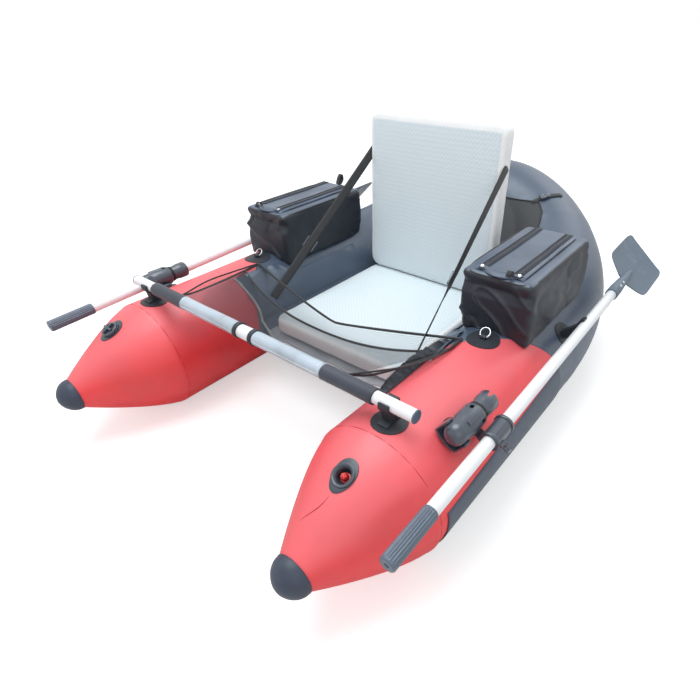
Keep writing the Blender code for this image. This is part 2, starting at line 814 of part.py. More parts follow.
def make_crossbar(hull):
    frame = bar_place()
    half = BAR_LENGTH / 2
    inner = BAR_RADIUS - BAR_WALL
    profile = [
        (0, -half + BAR_RECESS),
        (inner, -half + BAR_RECESS),
        (inner, -half),
        (BAR_RADIUS, -half),
        (BAR_RADIUS, half),
        (inner, half),
        (inner, half - BAR_RECESS),
        (0, half - BAR_RECESS),
    ]
    add("crossbar_tube", *turned(frame, profile, 20), "white_metal", frame.o, hull)
    bore = BAR_RADIUS + CLEAR
    ring_inner = SLEEVE_INNER_X - BAR_RING_WIDTH - CLEAR
    for word, side in SIDES:
        spans = (
            ("bar_foam", FOAM_INNER_X + CLEAR, FOAM_OUTER_X, FOAM_RADIUS, "foam"),
            ("bar_sleeve", SLEEVE_INNER_X, FOAM_INNER_X, SLEEVE_RADIUS, "silver_sleeve"),
            ("bar_ring", ring_inner, SLEEVE_INNER_X - CLEAR, BAR_RING_RADIUS, "black_plastic"),
        )
        for what, a, b, radius, paint in spans:
            low, high = (a, b) if side > 0 else (-b, -a)
            sleeve(word + "_" + what, low, high, radius, bore, paint, hull)
    reach = ring_inner - CLEAR
    sleeve("bar_centre_band", -reach, reach, BAND_RADIUS, bore, "white_metal", hull)


def make_saddle(name, side, hull):
    """Patch on the tube's top with the moulded cradle that grips the crossbar."""
    points, faces = patch(side, BAR_Y, 90, BAR_PATCH_RADIUS)
    base = add(name, points, faces, "black_rubber", on_tube(side, BAR_Y, 90), hull)
    frame = Place((side * TUBE_X, BAR_Y, BAR_HEIGHT), (0, 1, 0), (0, 0, 1), (1, 0, 0))
    inner = BAR_RADIUS + CLEAR
    outer = inner + SADDLE_WALL
    foot = TUBE_TOP + CLEAR + PATCH_THICKNESS / 2 - BAR_HEIGHT
    half = SADDLE_FOOT_WIDTH / 2
    knee = foot + SADDLE_FOOT_HEIGHT
    waist = SADDLE_WALL * 1.6
    open_half = SADDLE_OPENING_ANGLE
    outline = [(half, foot), (half, foot + SADDLE_FOOT_HEIGHT / 2), (waist, knee)]
    outline += arc(outer, -55, 90 - open_half, 7)
    outline += arc(inner, 90 - open_half, -270 + open_half, 16)
    outline += arc(outer, 90 + open_half, 235, 7)
    outline += [(-waist, knee), (-half, foot + SADDLE_FOOT_HEIGHT / 2), (-half, foot)]
    half_width = SADDLE_WIDTH / 2
    cradle = add("cradle", *prism(frame, outline, -half_width, half_width), "black_rubber")
    return fuse(base, cradle)


def ring_tab_place(side):
    here = on_tube(side, RING_Y, 90, CLEAR + PATCH_THICKNESS)
    return Place(here, (1, 0, 0), (0, 1, 0), (0, 0, 1))


def make_ring_patch(name, side, hull):
    """Round patch with the webbing tab that holds the steel ring."""
    base = add(name, *patch(side, RING_Y, 90, RING_PATCH_RADIUS), "black_rubber", on_tube(side, RING_Y, 90), hull)
    frame = ring_tab_place(side)
    half = TAB_LENGTH / 2
    outline = [(-half, -PATCH_THICKNESS / 2), (half, -PATCH_THICKNESS / 2)]
    outline += [(half, TAB_BORE_HEIGHT), (half * 0.7, TAB_HEIGHT * 0.86), (half * 0.3, TAB_HEIGHT)]
    outline += [(-half * 0.3, TAB_HEIGHT), (-half * 0.7, TAB_HEIGHT * 0.86), (-half, TAB_BORE_HEIGHT)]
    across = Place(frame.o, frame.y, frame.z, frame.x)
    tab = add("tab", *prism(across, outline, -TAB_WIDTH / 2, TAB_WIDTH / 2), "black_rubber")
    fuse(base, tab)
    axis = across.moved(0, TAB_BORE_HEIGHT, 0)
    reach = TAB_WIDTH / 2 + CUT_OVERRUN
    bore = [(0, -reach), (TAB_BORE_RADIUS, -reach), (TAB_BORE_RADIUS, reach), (0, reach)]
    return carve(base, add("tab_bore", *turned(axis, bore, 12), "black_rubber"))


def make_ring(name, side, hull):
    """Steel ring with a straight bar through its tab, leaning back from the patch."""
    frame = ring_tab_place(side).moved(0, 0, TAB_BORE_HEIGHT)
    lean = math.radians(RING_LEAN_ANGLE)
    out = frame.y * math.cos(lean) + frame.z * math.sin(lean)
    flat = Place(frame.o, frame.x, out, frame.x.cross(out))
    half_bar = TAB_WIDTH / 2 + RING_WIRE_RADIUS
    path = [(-half_bar, 0.0), (0.0, 0.0), (half_bar, 0.0)]
    path += arc(RING_RADIUS, -38, 218, 13, (0.0, RING_RADIUS * 0.86))
    rings = []
    count = len(path)
    for i, (x, y) in enumerate(path):
        px, py = path[i - 1]
        nx, ny = path[(i + 1) % count]
        ahead = (flat.x * (nx - px) + flat.y * (ny - py)).normalized()
        side_way = ahead.cross(flat.z).normalized()
        here = flat.at(x, y, 0)
        ring = []
        for j in range(6):
            turn = 2 * math.pi * j / 6
            ring.append(here + (side_way * math.cos(turn) + flat.z * math.sin(turn)) * RING_WIRE_RADIUS)
        rings.append(ring)
    points, faces = skin(rings, closed=True)
    return add(name, points, faces, "steel", frame.o, hull)


def mount_place(side):
    """Frame of an oar mount: x aft, y out and down round the tube, z square to the tube."""
    turn = math.radians(MOUNT_ANGLE)
    out = Vector((side * math.cos(turn), 0, math.sin(turn)))
    down = Vector((side * math.sin(turn), 0, -math.cos(turn)))
    return Place(on_tube(side, MOUNT_Y, MOUNT_ANGLE), (0, 1, 0), down, out)


def oar_place(side):
    """Frame of an oar at its clamp: x aft along the shaft, z out from the tube, y sideways."""
    mount = mount_place(side)
    here = mount.at(CLAMP_AFT, OAR_OFFSET_SIDE, OAR_OFFSET_HEIGHT)
    pitch = math.radians(OAR_PITCH_ANGLE)
    aft = Vector((0, math.cos(pitch), math.sin(pitch)))
    down = (mount.y - aft * mount.y.dot(aft)).normalized()
    out = (mount.z - aft * mount.z.dot(aft) - down * mount.z.dot(down)).normalized()
    return Place(here, aft, down, out)


def plate_level():
    return CLEAR + PATCH_THICKNESS + MOUNT_FOOT_HEIGHT + CLEAR


def make_mount_base(name, side, hull):
    """Patch with the round foot and the pin on which the oar mount swivels."""
    frame = mount_place(side)
    points, faces = patch(side, MOUNT_Y, MOUNT_ANGLE, MOUNT_PATCH_RADIUS)
    base = add(name, points, faces, "black_rubber", frame.o, hull)
    low = CLEAR + PATCH_THICKNESS / 2
    top = CLEAR + PATCH_THICKNESS + MOUNT_FOOT_HEIGHT
    profile = [(0, low), (MOUNT_FOOT_RADIUS, low), (MOUNT_FOOT_RADIUS, top), (MOUNT_PIN_RADIUS, top)]
    profile += [(MOUNT_PIN_RADIUS, top + MOUNT_PIN_HEIGHT), (0, top + MOUNT_PIN_HEIGHT)]
    return fuse(base, add("foot", *turned(frame, profile, 24), "black_rubber"))


def make_bracket(name, side, pivot):
    """Swivel plate with the barrel's two ears and the arm to the clamp's lower half."""
    frame = mount_place(side)
    oar = oar_place(side)
    low = plate_level()
    top = low + PLATE_THICKNESS
    profile = [(0, low), (PLATE_RADIUS, low), (PLATE_RADIUS, top), (0, top)]
    plate = add(name, *turned(frame, profile, 24), "black_plastic", frame.o, pivot)
    ear_reach = BARREL_DOME_RADIUS + EAR_GAP
    ear_out = ear_reach + EAR_THICKNESS
    nose = -TILT_AHEAD - EAR_HALF
    outline = [(0, -PLATE_RADIUS), (0, PLATE_RADIUS), (-TILT_AHEAD / 2, ear_out), (nose, ear_out)]
    outline += [(nose - EAR_HALF / 2, ear_out / 2), (nose - EAR_HALF / 2, -ear_out / 2)]
    outline += [(nose, -ear_out), (-TILT_AHEAD / 2, -ear_out)]
    fuse(plate, add("tongue", *prism(frame, outline, low, top), "black_plastic"))
    for way in (-1, 1):
        outline = [(-EAR_HALF, top - PLATE_THICKNESS / 2), (EAR_HALF, top - PLATE_THICKNESS / 2)]
        outline += arc(EAR_HALF, 0, 180, 8, (0.0, BARREL_HEIGHT))
        upright = Place(frame.at(-TILT_AHEAD, way * ear_reach, 0), frame.x, frame.z, frame.y * way)
        fuse(plate, add("ear", *prism(upright, outline, 0, EAR_THICKNESS), "black_plastic"))
        boss = upright.moved(0, BARREL_HEIGHT, 0)
        reach = PIVOT_PIN_DEPTH + EAR_GAP
        half = EAR_THICKNESS / 2
        pin = [(0, -reach), (PIVOT_PIN_RADIUS, -reach), (PIVOT_PIN_RADIUS, half), (0, half)]
        fuse(plate, add("pivot_pin", *turned(boss, pin, 12), "black_plastic"))
    inner = SHAFT_RADIUS + CLEAR
    outer = inner + CLAMP_WALL
    reach_side = OAR_OFFSET_SIDE + CAP_EAR_THICKNESS
    arm_start = CLAMP_AFT - ARM_WIDTH / 2
    arm_end = CLAMP_AFT + ARM_WIDTH / 2
    outline = [(0, 0), (PLATE_RADIUS / 2, -PLATE_RADIUS / 2), (arm_end, PLATE_RADIUS), (arm_end, reach_side)]
    outline += [(arm_start, reach_side), (arm_start, PLATE_RADIUS), (0, PLATE_RADIUS / 2)]
    fuse(plate, add("arm", *prism(frame, outline, low, top), "black_plastic"))
    hole = [(0, low - CUT_OVERRUN), (MOUNT_PIN_RADIUS + CLEAR, low - CUT_OVERRUN)]
    hole += [(MOUNT_PIN_RADIUS + CLEAR, low + MOUNT_PIN_HEIGHT), (0, low + MOUNT_PIN_HEIGHT)]
    carve(plate, add("pin_hole", *turned(frame, hole, 16), "black_plastic"))
    post = frame.moved(0, OAR_OFFSET_SIDE, 0)
    post_top = OAR_OFFSET_HEIGHT - inner - CLAMP_WALL / 2
    half_post = CAP_EAR_THICKNESS
    box = block(post, (arm_start, arm_end), (-half_post, half_post), (top - PLATE_THICKNESS / 2, post_top))
    fuse(plate, add("post", *box, "black_plastic"))
    half = CLAMP_LENGTH / 2
    cradle = Place(oar.o, oar.y, oar.z, oar.x)
    split = math.degrees(math.asin(CLAMP_SPLIT_GAP / 2 / outer))
    outline = arc(outer, -180 + split, -split, 12) + arc(inner, -split, -180 + split, 12)
    fuse(plate, add("cradle", *prism(cradle, outline, -half, half), "black_plastic"))
    return plate


def make_clamp_cap(name, side, pivot):
    """Upper half of the oar clamp with the ear that its bolt draws down."""
    oar = oar_place(side)
    inner = SHAFT_RADIUS + CLEAR
    outer = inner + CLAMP_WALL
    half = CLAMP_LENGTH / 2
    cradle = Place(oar.o, oar.y, oar.z, oar.x)
    split = math.degrees(math.asin(CLAMP_SPLIT_GAP / 2 / outer))
    outline = arc(outer, split, 180 - split, 12) + arc(inner, 180 - split, split, 12)
    cap = add(name, *prism(cradle, outline, -half, half), "black_plastic", oar.o, pivot)
    wide = KNOB_RADIUS
    ear = Place(oar.at(-KNOB_AHEAD, outer - CLAMP_WALL / 2, 0), oar.x, oar.z, oar.y)
    level = CLAMP_SPLIT_GAP / 2
    knee = level + CAP_EAR_LENGTH / 2
    high = level + CAP_EAR_LENGTH * 0.8
    outline = [(-wide, level), (wide, level), (wide, knee), (wide / 2, high), (-wide / 2, high), (-wide, knee)]
    fuse(cap, add("ear", *prism(ear, outline, 0, CLAMP_WALL / 2 + CAP_EAR_THICKNESS), "black_plastic"))
    return cap


def knob_place(side):
    oar = oar_place(side)
    outer = SHAFT_RADIUS + CLEAR + CLAMP_WALL
    level = (CLAMP_SPLIT_GAP + CAP_EAR_LENGTH) / 2
    face = oar.at(-KNOB_AHEAD, outer + CAP_EAR_THICKNESS + CLEAR, level)
    return Place(face, oar.x, oar.z, oar.y)


def make_knob(name, side, pivot):
    """Six-lobed clamp knob on the outer side of the cap's ear."""
    frame = knob_place(side)
    low = KNOB_STEM_LENGTH
    stem = [(0, 0), (KNOB_STEM_RADIUS, 0), (KNOB_STEM_RADIUS, low + CUT_OVERRUN), (0, low + CUT_OVERRUN)]
    outline = []
    for i in range(24):
        turn = 2 * math.pi * i / 24
        reach = KNOB_RADIUS * (0.9 + 0.1 * math.cos(6 * turn))
        outline.append((reach * math.cos(turn), reach * math.sin(turn)))
    knob = add(name, *prism(frame, outline, low, low + KNOB_LENGTH), "black_plastic", frame.o, pivot)
    return fuse(knob, add("stem", *turned(frame, stem, 12), "black_plastic"))


def barrel_place(side):
    """Frame of the rod holder's barrel: z aft along its bore, origin on its tilt pivot."""
    mount = mount_place(side)
    here = mount.at(-TILT_AHEAD, 0, BARREL_HEIGHT)
    return Place(here, mount.y, mount.z, mount.x)


def make_barrel(name, side, pivot):
    """Barrel with a domed closed end on its pivot, a bore, two windows and a neck."""
    frame = barrel_place(side)
    radius = BARREL_RADIUS
    dome = BARREL_DOME_RADIUS
    bore = BARREL_BORE_RADIUS
    rear = BARREL_LENGTH
    neck = rear + NECK_LENGTH
    lip = NECK_LENGTH / 2
    profile = [(dome * a, -dome * b) for a, b in DOME_SHARES]
    profile += [(dome, EAR_HALF), (radius, EAR_HALF * 2), (radius, rear - lip), (radius - lip, rear)]
    profile += [(NECK_RADIUS, rear), (NECK_RADIUS, neck), (bore, neck), (bore, BARREL_BORE_START), (0, BARREL_BORE_START)]
    barrel = add(name, *turned(frame, profile, 18), "black_plastic", frame.o, pivot)
    depth = PIVOT_PIN_DEPTH + CLEAR
    for way in (-1, 1):
        hole = Place(frame.at(way * dome, 0, 0), frame.z, frame.y, frame.x * way)
        wall = PIVOT_PIN_RADIUS + CLEAR
        shape = [(0, -depth), (wall, -depth), (wall, CUT_OVERRUN), (0, CUT_OVERRUN)]
        carve(barrel, add("pivot_hole", *turned(hole, shape, 12), "black_plastic"))
    high = rear - NECK_LENGTH * 2
    for way in (-1, 1):
        turn = math.radians(90 + way * WINDOW_ANGLE)
        out = frame.x * math.cos(turn) + frame.y * math.sin(turn)
        cut = Place(frame.o, out, out.cross(frame.z), frame.z)
        half = WINDOW_WIDTH / 2
        box = block(cut, (bore - CUT_OVERRUN, radius + CUT_OVERRUN), (-half, half), (high - WINDOW_LENGTH, high))
        carve(barrel, add("window", *box, "black_plastic"))
    return barrel


def make_socket(name, side, pivot):
    """Turning collar behind the neck, flared and notched for a reel's foot."""
    frame = barrel_place(side)
    low = BARREL_LENGTH + NECK_LENGTH + CLEAR
    high = low + SOCKET_LENGTH
    bore = BARREL_BORE_RADIUS
    rim = SOCKET_RADIUS
    profile = [(bore, low), (SOCKET_WAIST_RADIUS, low), (SOCKET_WAIST_RADIUS, low + SOCKET_LENGTH * 0.35)]
    profile += [(rim, low + SOCKET_LENGTH * 0.6), (rim, high), (bore * 1.08, high)]
    socket = add(name, *turned(frame, profile, 18), "black_plastic", frame.at(0, 0, low), pivot)
    cut = Place(frame.o, frame.z, frame.y.cross(frame.z), frame.y)
    half = NOTCH_WIDTH / 2
    outline = [(high - NOTCH_DEPTH, -half / 4), (high + CUT_OVERRUN, -half), (high + CUT_OVERRUN, half)]
    outline += [(high - NOTCH_DEPTH, half / 4)]
    tool = prism(cut, outline, bore / 2, SOCKET_RADIUS + CUT_OVERRUN)
    return carve(socket, add("notch", *tool, "black_plastic"))


def make_keeper(name, side, hull):
    """Patch and open hook near the bend, in which the stowed shaft lies."""
    oar = oar_place(side)
    run = (KEEPER_Y - oar.o.y) / oar.x.y
    centre = oar.at(run, 0, 0)
    angle = math.degrees(math.atan2(centre.z - TUBE_RADIUS, abs(centre.x) - TUBE_X))
    points, faces = patch(side, KEEPER_Y, angle, KEEPER_PATCH_RADIUS)
    base = add(name, points, faces, "black_rubber", on_tube(side, KEEPER_Y, angle), hull)
    turn = math.radians(angle)
    out = Vector((side * math.cos(turn), 0, math.sin(turn)))
    inward = Vector((-side * math.sin(turn), 0, math.cos(turn)))
    frame = Place(centre, inward, out, (0, 1, 0))
    inner = SHAFT_RADIUS + RUN_CLEAR
    outer = inner + KEEPER_WALL
    distance = (Vector((abs(centre.x), centre.z)) - Vector((TUBE_X, TUBE_RADIUS))).length
    foot = TUBE_RADIUS + CLEAR + PATCH_THICKNESS / 2 - distance
    half_foot = KEEPER_FOOT_WIDTH / 2
    outline = [(-half_foot, foot), (half_foot, foot), (half_foot, -outer)]
    outline += arc(outer, -42, KEEPER_WRAP_ANGLE, 5)
    outline += arc(inner, KEEPER_WRAP_ANGLE, KEEPER_FLOOR_ANGLE, 9)
    outline += [(-half_foot, -outer)]
    half = KEEPER_LENGTH / 2
    hook = add("hook", *prism(frame, outline, -half, half), "black_rubber")
    return fuse(base, hook)


def make_shaft(name, side, pivot):
    oar = oar_place(side)
    frame = Place(oar.o, oar.y, oar.z, oar.x)
    front = -SHAFT_FRONT - GRIP_LENGTH + GRIP_END_THICKNESS + CLEAR
    rear = SHAFT_REAR + SOCKET_TUBE_FRONT
    profile = [(0, front), (SHAFT_RADIUS, front), (SHAFT_RADIUS, rear), (0, rear)]
    return add(name, *turned(frame, profile, ROD_SIDES), "white_metal", oar.o, pivot)


def halved(faces):
    """Faces with each one of four corners cut into two triangles."""
    made = [face for face in faces if len(face) != 4]
    for a, b, c, d in (face for face in faces if len(face) == 4):
        made += [(a, b, c), (a, c, d)]
    return made


def make_grip(name, side, pivot):
    """Hand grip with lengthwise flutes, pushed over the shaft's front end."""
    oar = oar_place(side)
    frame = Place(oar.at(-SHAFT_FRONT, 0, 0), oar.y, oar.z, -oar.x)
    core = GRIP_RADIUS - GRIP_FLUTE_DEPTH
    end = GRIP_LENGTH
    levels = (
        (0, GRIP_RADIUS), (GRIP_COLLAR, GRIP_RADIUS), (GRIP_COLLAR + GRIP_FLUTE_DEPTH, core),
        (end - GRIP_COLLAR - GRIP_FLUTE_DEPTH, core), (end - GRIP_COLLAR, GRIP_RADIUS), (end, core),
    )
    rings = []
    for along, valley in levels:
        ridge = core if along == end else GRIP_RADIUS
        ring = []
        for j in range(2 * GRIP_FLUTES):
            turn = math.pi * j / GRIP_FLUTES
            reach = valley if j % 2 else ridge
            ring.append(frame.at(reach * math.cos(turn), reach * math.sin(turn), along))
        rings.append(ring)
    points, faces = skin(rings)
    grip = add(name, points, halved(faces), "black_rubber", frame.o, pivot)
    bore = SHAFT_RADIUS + CLEAR
    depth = GRIP_LENGTH - GRIP_END_THICKNESS
    hole = [(0, -CUT_OVERRUN), (bore, -CUT_OVERRUN), (bore, depth), (0, depth)]
    return carve(grip, add("grip_hole", *turned(frame, hole, ROD_SIDES), "black_rubber"))


def make_blade(name, side, pivot):
    """Dished plastic blade with its spine and the socket that takes the shaft."""
    oar = oar_place(side)
    roll = math.radians(BLADE_ROLL_ANGLE)
    flat = Vector((side * math.cos(roll), 0, -math.sin(roll)))
    flat = (flat - oar.x * flat.dot(oar.x)).normalized()
    face = flat.cross(oar.x).normalized()
    if face.z < 0:
        face = -face
    frame = Place(oar.at(SHAFT_REAR, 0, 0), oar.x, flat, face)
    length = BLADE_LENGTH
    half = BLADE_WIDTH / 2
    start = BLADE_START
    rings = []
    across = 6
    for along_share, wide_share in BLADE_SHARES:
        x = start + length * along_share
        dish = BLADE_DISH * math.sin(math.pi * along_share)
        low = []
        high = []
        for j in range(across + 1):
            w = -1 + 2 * j / across
            bend = dish * (1 - w * w)
            y = half * wide_share * w
            low.append(frame.at(x, y, -BLADE_THICKNESS / 2 - bend))
            high.append(frame.at(x, y, BLADE_THICKNESS / 2 - bend))
        rings.append(low + high[::-1])
    points, faces = skin(rings)
    blade = add(name, points, faces, "blade_plastic", frame.o, pivot)
    turned_frame = Place(frame.o, frame.y, frame.z, frame.x)
    outer = SOCKET_TUBE_RADIUS
    front = -SOCKET_TUBE_FRONT
    spine = SPINE_LENGTH
    profile = [
        (0, front),
        (outer, front),
        (outer, spine * 0.25),
        (outer * 0.8, spine * 0.5),
        (SPINE_TIP_RADIUS, spine),
        (0, spine + SPINE_TIP_RADIUS),
    ]
    fuse(blade, add("spine", *turned(turned_frame, profile, 16), "blade_plastic"))
    bore = SHAFT_RADIUS + CLEAR
    end = SOCKET_TUBE_FRONT + CLEAR
    hole = [(0, front - CUT_OVERRUN), (bore, front - CUT_OVERRUN), (bore, end), (0, end)]
    return carve(blade, add("shaft_hole", *turned(turned_frame, hole, ROD_SIDES), "blade_plastic"))


def make_sling(hull):
    """Seat sling: glued up both inner tube sides and slung flat under the cushion."""
    rings = []
    knee = TUBE_RADIUS + TUBE_RADIUS * math.sin(math.radians(SLING_LOW_ANGLE))
    flat_half = SEAT_WIDTH / 2 + SLING_THICKNESS
    for share in SLING_SHARES:
        y = SLING_Y + SLING_LENGTH * share
        down = min(1.0, max(0.0, (share - SLING_FRONT_SHARE) / SLING_STEP_SHARE))
        angle = SLING_FRONT_ANGLE + (SLING_TOP_ANGLE - SLING_FRONT_ANGLE) * down
        top = TUBE_RADIUS + TUBE_RADIUS * math.sin(math.radians(angle))
        low = []
        high = []
        for j in range(SLING_ROWS + 1):
            z = top + (knee - top) * j / SLING_ROWS
            x = hull_side(y, z, 2 * CLEAR)
            low.append(Vector((-x, y, z)))
            high.append(Vector((SLING_THICKNESS - x, y, z + SLING_THICKNESS / 2)))
        for j in range(SLING_SPANS // 2 + 1):
            x = flat_half * (1 - 2 * j / SLING_SPANS)
            low.append(Vector((-x, y, SLING_HEIGHT)))
            high.append(Vector((-x, y, SLING_HEIGHT + SLING_THICKNESS)))
        low += [Vector((-p.x, p.y, p.z)) for p in low[-2::-1]]
        high += [Vector((-p.x, p.y, p.z)) for p in high[-2::-1]]
        rings.append(low + high[::-1])
    points, faces = skin(rings)
    return add("seat_sling", points, faces, "grey_fabric", (0, SLING_Y, SLING_HEIGHT), hull)


def pad(frame, half_x, half_y, thickness, corner, edge, crown, steps=4):
    """Rings of a crowned cushion: x and y across its faces, z through its thickness."""
    levels = (
        (edge, 0.0), (edge * 0.3, edge * 0.35), (0.0, edge), (0.0, thickness - edge),
        (edge * 0.3, thickness - edge * 0.35), (edge, thickness),
        (edge * 3.2, thickness + crown * 0.55), (min(half_x, half_y) * 0.6, thickness + crown),
    )
    rings = []
    for inset, level in levels:
        round_corner = max(corner - inset, corner * 0.3)
        outline = rounded(half_x - inset, half_y - inset, round_corner, steps)
        rings.append([frame.at(x, y, level) for x, y in outline])
    return skin(rings)


def make_seat(hull):
    half = SEAT_LENGTH / 2
    frame = Place((0, SEAT_Y + half, SEAT_BASE), (1, 0, 0), (0, 1, 0), (0, 0, 1))
    shape = pad(frame, SEAT_WIDTH / 2, half, SEAT_THICKNESS, SEAT_CORNER, SEAT_EDGE, SEAT_CROWN)
    return add("seat_cushion", *shape, "seat_pvc", frame.o, hull)


def back_place():
    """Frame of the backrest: origin on the fold line, y up its face, z towards its front."""
    lean = math.radians(BACK_RECLINE_ANGLE)
    up = Vector((0, math.sin(lean), math.cos(lean)))
    return Place((0, BACK_Y, BACK_BASE), (1, 0, 0), up, (0, -math.cos(lean), math.sin(lean)))


def make_backrest(fold):
    frame = back_place()
    half = BACK_HEIGHT / 2
    centre = frame.moved(0, half, -BACK_THICKNESS)
    shape = pad(centre, BACK_WIDTH / 2, half, BACK_THICKNESS, BACK_CORNER, SEAT_EDGE, 0.0)
    back = add("backrest", *shape, "seat_pvc", frame.o, fold)
    reach = BACK_WIDTH
    under = Place((0, BACK_Y, BACK_BASE), (1, 0, 0), (0, 1, 0), (0, 0, 1))
    tool = add("foot_cut", *block(under, (-reach, reach), (-reach, reach), (-reach, 0)), "seat_pvc")
    return carve(back, tool)


def strap_ends(side):
    """Top end on the backrest's side edge and anchor on the tube's inner side."""
    frame = back_place()
    up = BACK_HEIGHT * STRAP_TOP_SHARE
    wide = BACK_WIDTH / 2
    top = frame.at(side * (wide + STRAP_THICKNESS * 1.5 + CLEAR), up, -BACK_THICKNESS / 2)
    anchor = on_tube(side, ANCHOR_Y, STRAP_ANCHOR_ANGLE, CLEAR * 4 + SLING_THICKNESS + STRAP_THICKNESS / 2)
    return top, anchor


def make_strap(name, side, hull):
    """Flat webbing from the backrest's edge down to the sling's front corner."""
    top, anchor = strap_ends(side)
    ahead = (anchor - top).normalized()
    wide = Vector((0, 1, 0))
    wide = (wide - ahead * wide.dot(ahead)).normalized()
    thick = ahead.cross(wide).normalized()
    half = STRAP_WIDTH / 2
    rings = []
    for share in (0.0, 0.25, 0.5, 0.75, 1.0):
        across = wide.copy()
        through = ahead.cross(across) * (STRAP_THICKNESS / 2)
        here = top.lerp(anchor, share)
        if share == 1.0:
            across = Vector((0, 1, 0))
            through = on_tube(side, 0, STRAP_ANCHOR_ANGLE, STRAP_THICKNESS / 2) - on_tube(side, 0, STRAP_ANCHOR_ANGLE)
            through *= 1 if through.dot(thick) > 0 else -1
            across *= 1 if across.dot(wide) > 0 else -1
        rings.append([here + across * half * a + through * b for a, b in ((-1, -1), (1, -1), (1, 1), (-1, 1))])
    points, faces = skin(rings)
    return add(name, points, halved(faces), "black_fabric", anchor, hull)


def apron_edge(width, y, height, sag, bow, share):
    """Point of an apron edge at a share from -1 (left) to 1 (right)."""
    drop = 1 - abs(share) ** 2.2
    return Vector((width / 2 * share, y - bow * drop, height - sag * drop))


def hem_point(share):
    return apron_edge(APRON_HEM_WIDTH, HEM_Y, APRON_HEM_HEIGHT, APRON_HEM_SAG, APRON_HEM_BOW, share)


def rim_point(share):
    return apron_edge(APRON_RIM_WIDTH, RIM_Y, APRON_RIM_HEIGHT, APRON_RIM_SAG, APRON_RIM_BOW, share)


def lattice(spot, across, along, open_cell):
    """Closed sheet over a grid of lines, with holes in the cells for which open_cell is true."""
    columns = len(across)
    rows = len(along)
    points = [spot(a, b, layer) for layer in (0, 1) for b in along for a in across]
    size = columns * rows

    def solid(i, j):
        inside = 0 <= i < columns - 1 and 0 <= j < rows - 1
        return inside and not open_cell(i, j)

    faces = []
    for j in range(rows - 1):
        for i in range(columns - 1):
            if not solid(i, j):
                continue
            corner = j * columns + i
            low = [corner, corner + 1, corner + 1 + columns, corner + columns]
            faces.append(tuple(low[::-1]))
            faces.append(tuple(p + size for p in low))
            for k, (di, dj) in enumerate(((0, -1), (1, 0), (0, 1), (-1, 0))):
                if not solid(i + di, j + dj):
                    a, b = low[k], low[(k + 1) % 4]
                    faces.append((a, b, b + size, a + size))
    return points, faces


def strand_lines(count, length, margin):
    """Shares of a length at which a row of strands starts and ends, with a margin at both ends."""
    lines = [0.0]
    pitch = (length - 2 * margin + NET_STRAND) / count
    for i in range(count):
        start = margin + pitch * i
        lines += [start / length, (start + pitch - NET_STRAND) / length]
    return lines + [1.0]


def make_apron_net(hull):
    """Net from the crossbar back to the apron's hem, with real openings."""
    front_y = BAR_Y + SLEEVE_RADIUS + CLEAR
    front_z = BAR_HEIGHT

    def spot(across, along, layer):
        front = Vector((APRON_WIDTH_FRONT / 2 * across, front_y, front_z))
        if abs(front.x) < 2 * SLEEVE_INNER_X:
            front.y += BAR_RING_RADIUS - SLEEVE_RADIUS
        rear = hem_point(across) - Vector((0, PIPING_RADIUS + CLEAR, 0))
        here = front.lerp(rear, along)
        here.z -= NET_SAG * math.sin(math.pi * along) * (1 - across * across)
        here.z += NET_THICKNESS * (layer - 0.5)
        return here

    length = (hem_point(0) - Vector((0, front_y, front_z))).length
    across = [2 * line - 1 for line in strand_lines(NET_COLUMNS, APRON_WIDTH_FRONT, NET_MARGIN)]
    along = strand_lines(NET_ROWS, length, NET_STRAND)
    points, faces = lattice(spot, across, along, lambda i, j: i % 2 == 1 and j % 2 == 1)
    return add("apron_net", points, faces, "black_fabric", (0, front_y, front_z), hull)


def make_apron_border(hull):
    """Band of net behind the hem, with a piping rib along both of its edges."""
    band = (rim_point(0) - hem_point(0)).length
    rib = 2 * PIPING_RADIUS / band

    def spot(across, along, layer):
        here = hem_point(across).lerp(rim_point(across), along)
        here.z += 2 * PIPING_RADIUS * (layer - 0.5)
        return here

    across = [2 * line - 1 for line in strand_lines(NET_COLUMNS, APRON_HEM_WIDTH, NET_MARGIN)]
    along = [0.0, rib, 1 - rib, 1.0]
    points, faces = lattice(spot, across, along, lambda i, j: i % 2 == 1 and j == 1)
    return add("apron_border", points, faces, "black_fabric", rim_point(0), hull)


def bag_top():
    return TUBE_TOP - BAG_DIP + BAG_HEIGHT


def make_bag(name, side, hull):
    """Hollow zipped bag that sits on the tube, open under its lid."""
    top = bag_top()
    middle = BAG_Y + BAG_LENGTH / 2
    low = TUBE_RADIUS + math.sqrt(TUBE_RADIUS**2 - (BAG_WIDTH / 2 + BAG_BULGE) ** 2) - BAG_DIP
    seam = BAG_CORNER / 3
    levels = (
        (0.0, low), (-BAG_BULGE, (low + top) / 2), (-BAG_BULGE / 2, top - BAG_CORNER),
        (seam / 2, top - seam / 2), (seam * 2, top),
    )
    rings = []
    for inset, z in levels:
        outline = rounded(BAG_WIDTH / 2 - inset, BAG_LENGTH / 2 - inset, BAG_CORNER - seam, 3)
        rings.append([Vector((side * (BAG_CENTRE_X + x), middle + y, z)) for x, y in outline])
    bag = add(name, *skin(rings), "black_fabric", (side * BAG_CENTRE_X, middle, top), hull)
    carve_hull(bag, side)
    mouth_rear = BAG_Y + BAG_LENGTH - BAG_MOUTH_REAR_MARGIN
    mouth = Place((side * BAG_CENTRE_X, mouth_rear - BAG_MOUTH_LENGTH / 2, top), (1, 0, 0), (0, 1, 0), (0, 0, 1))
    outline = rounded(BAG_MOUTH_WIDTH / 2, BAG_MOUTH_LENGTH / 2, BAG_MOUTH_CORNER, 2)
    tool = add("pocket", *prism(mouth, outline, -BAG_POCKET_DEPTH, CUT_OVERRUN), "black_fabric")
    return carve(bag, tool)


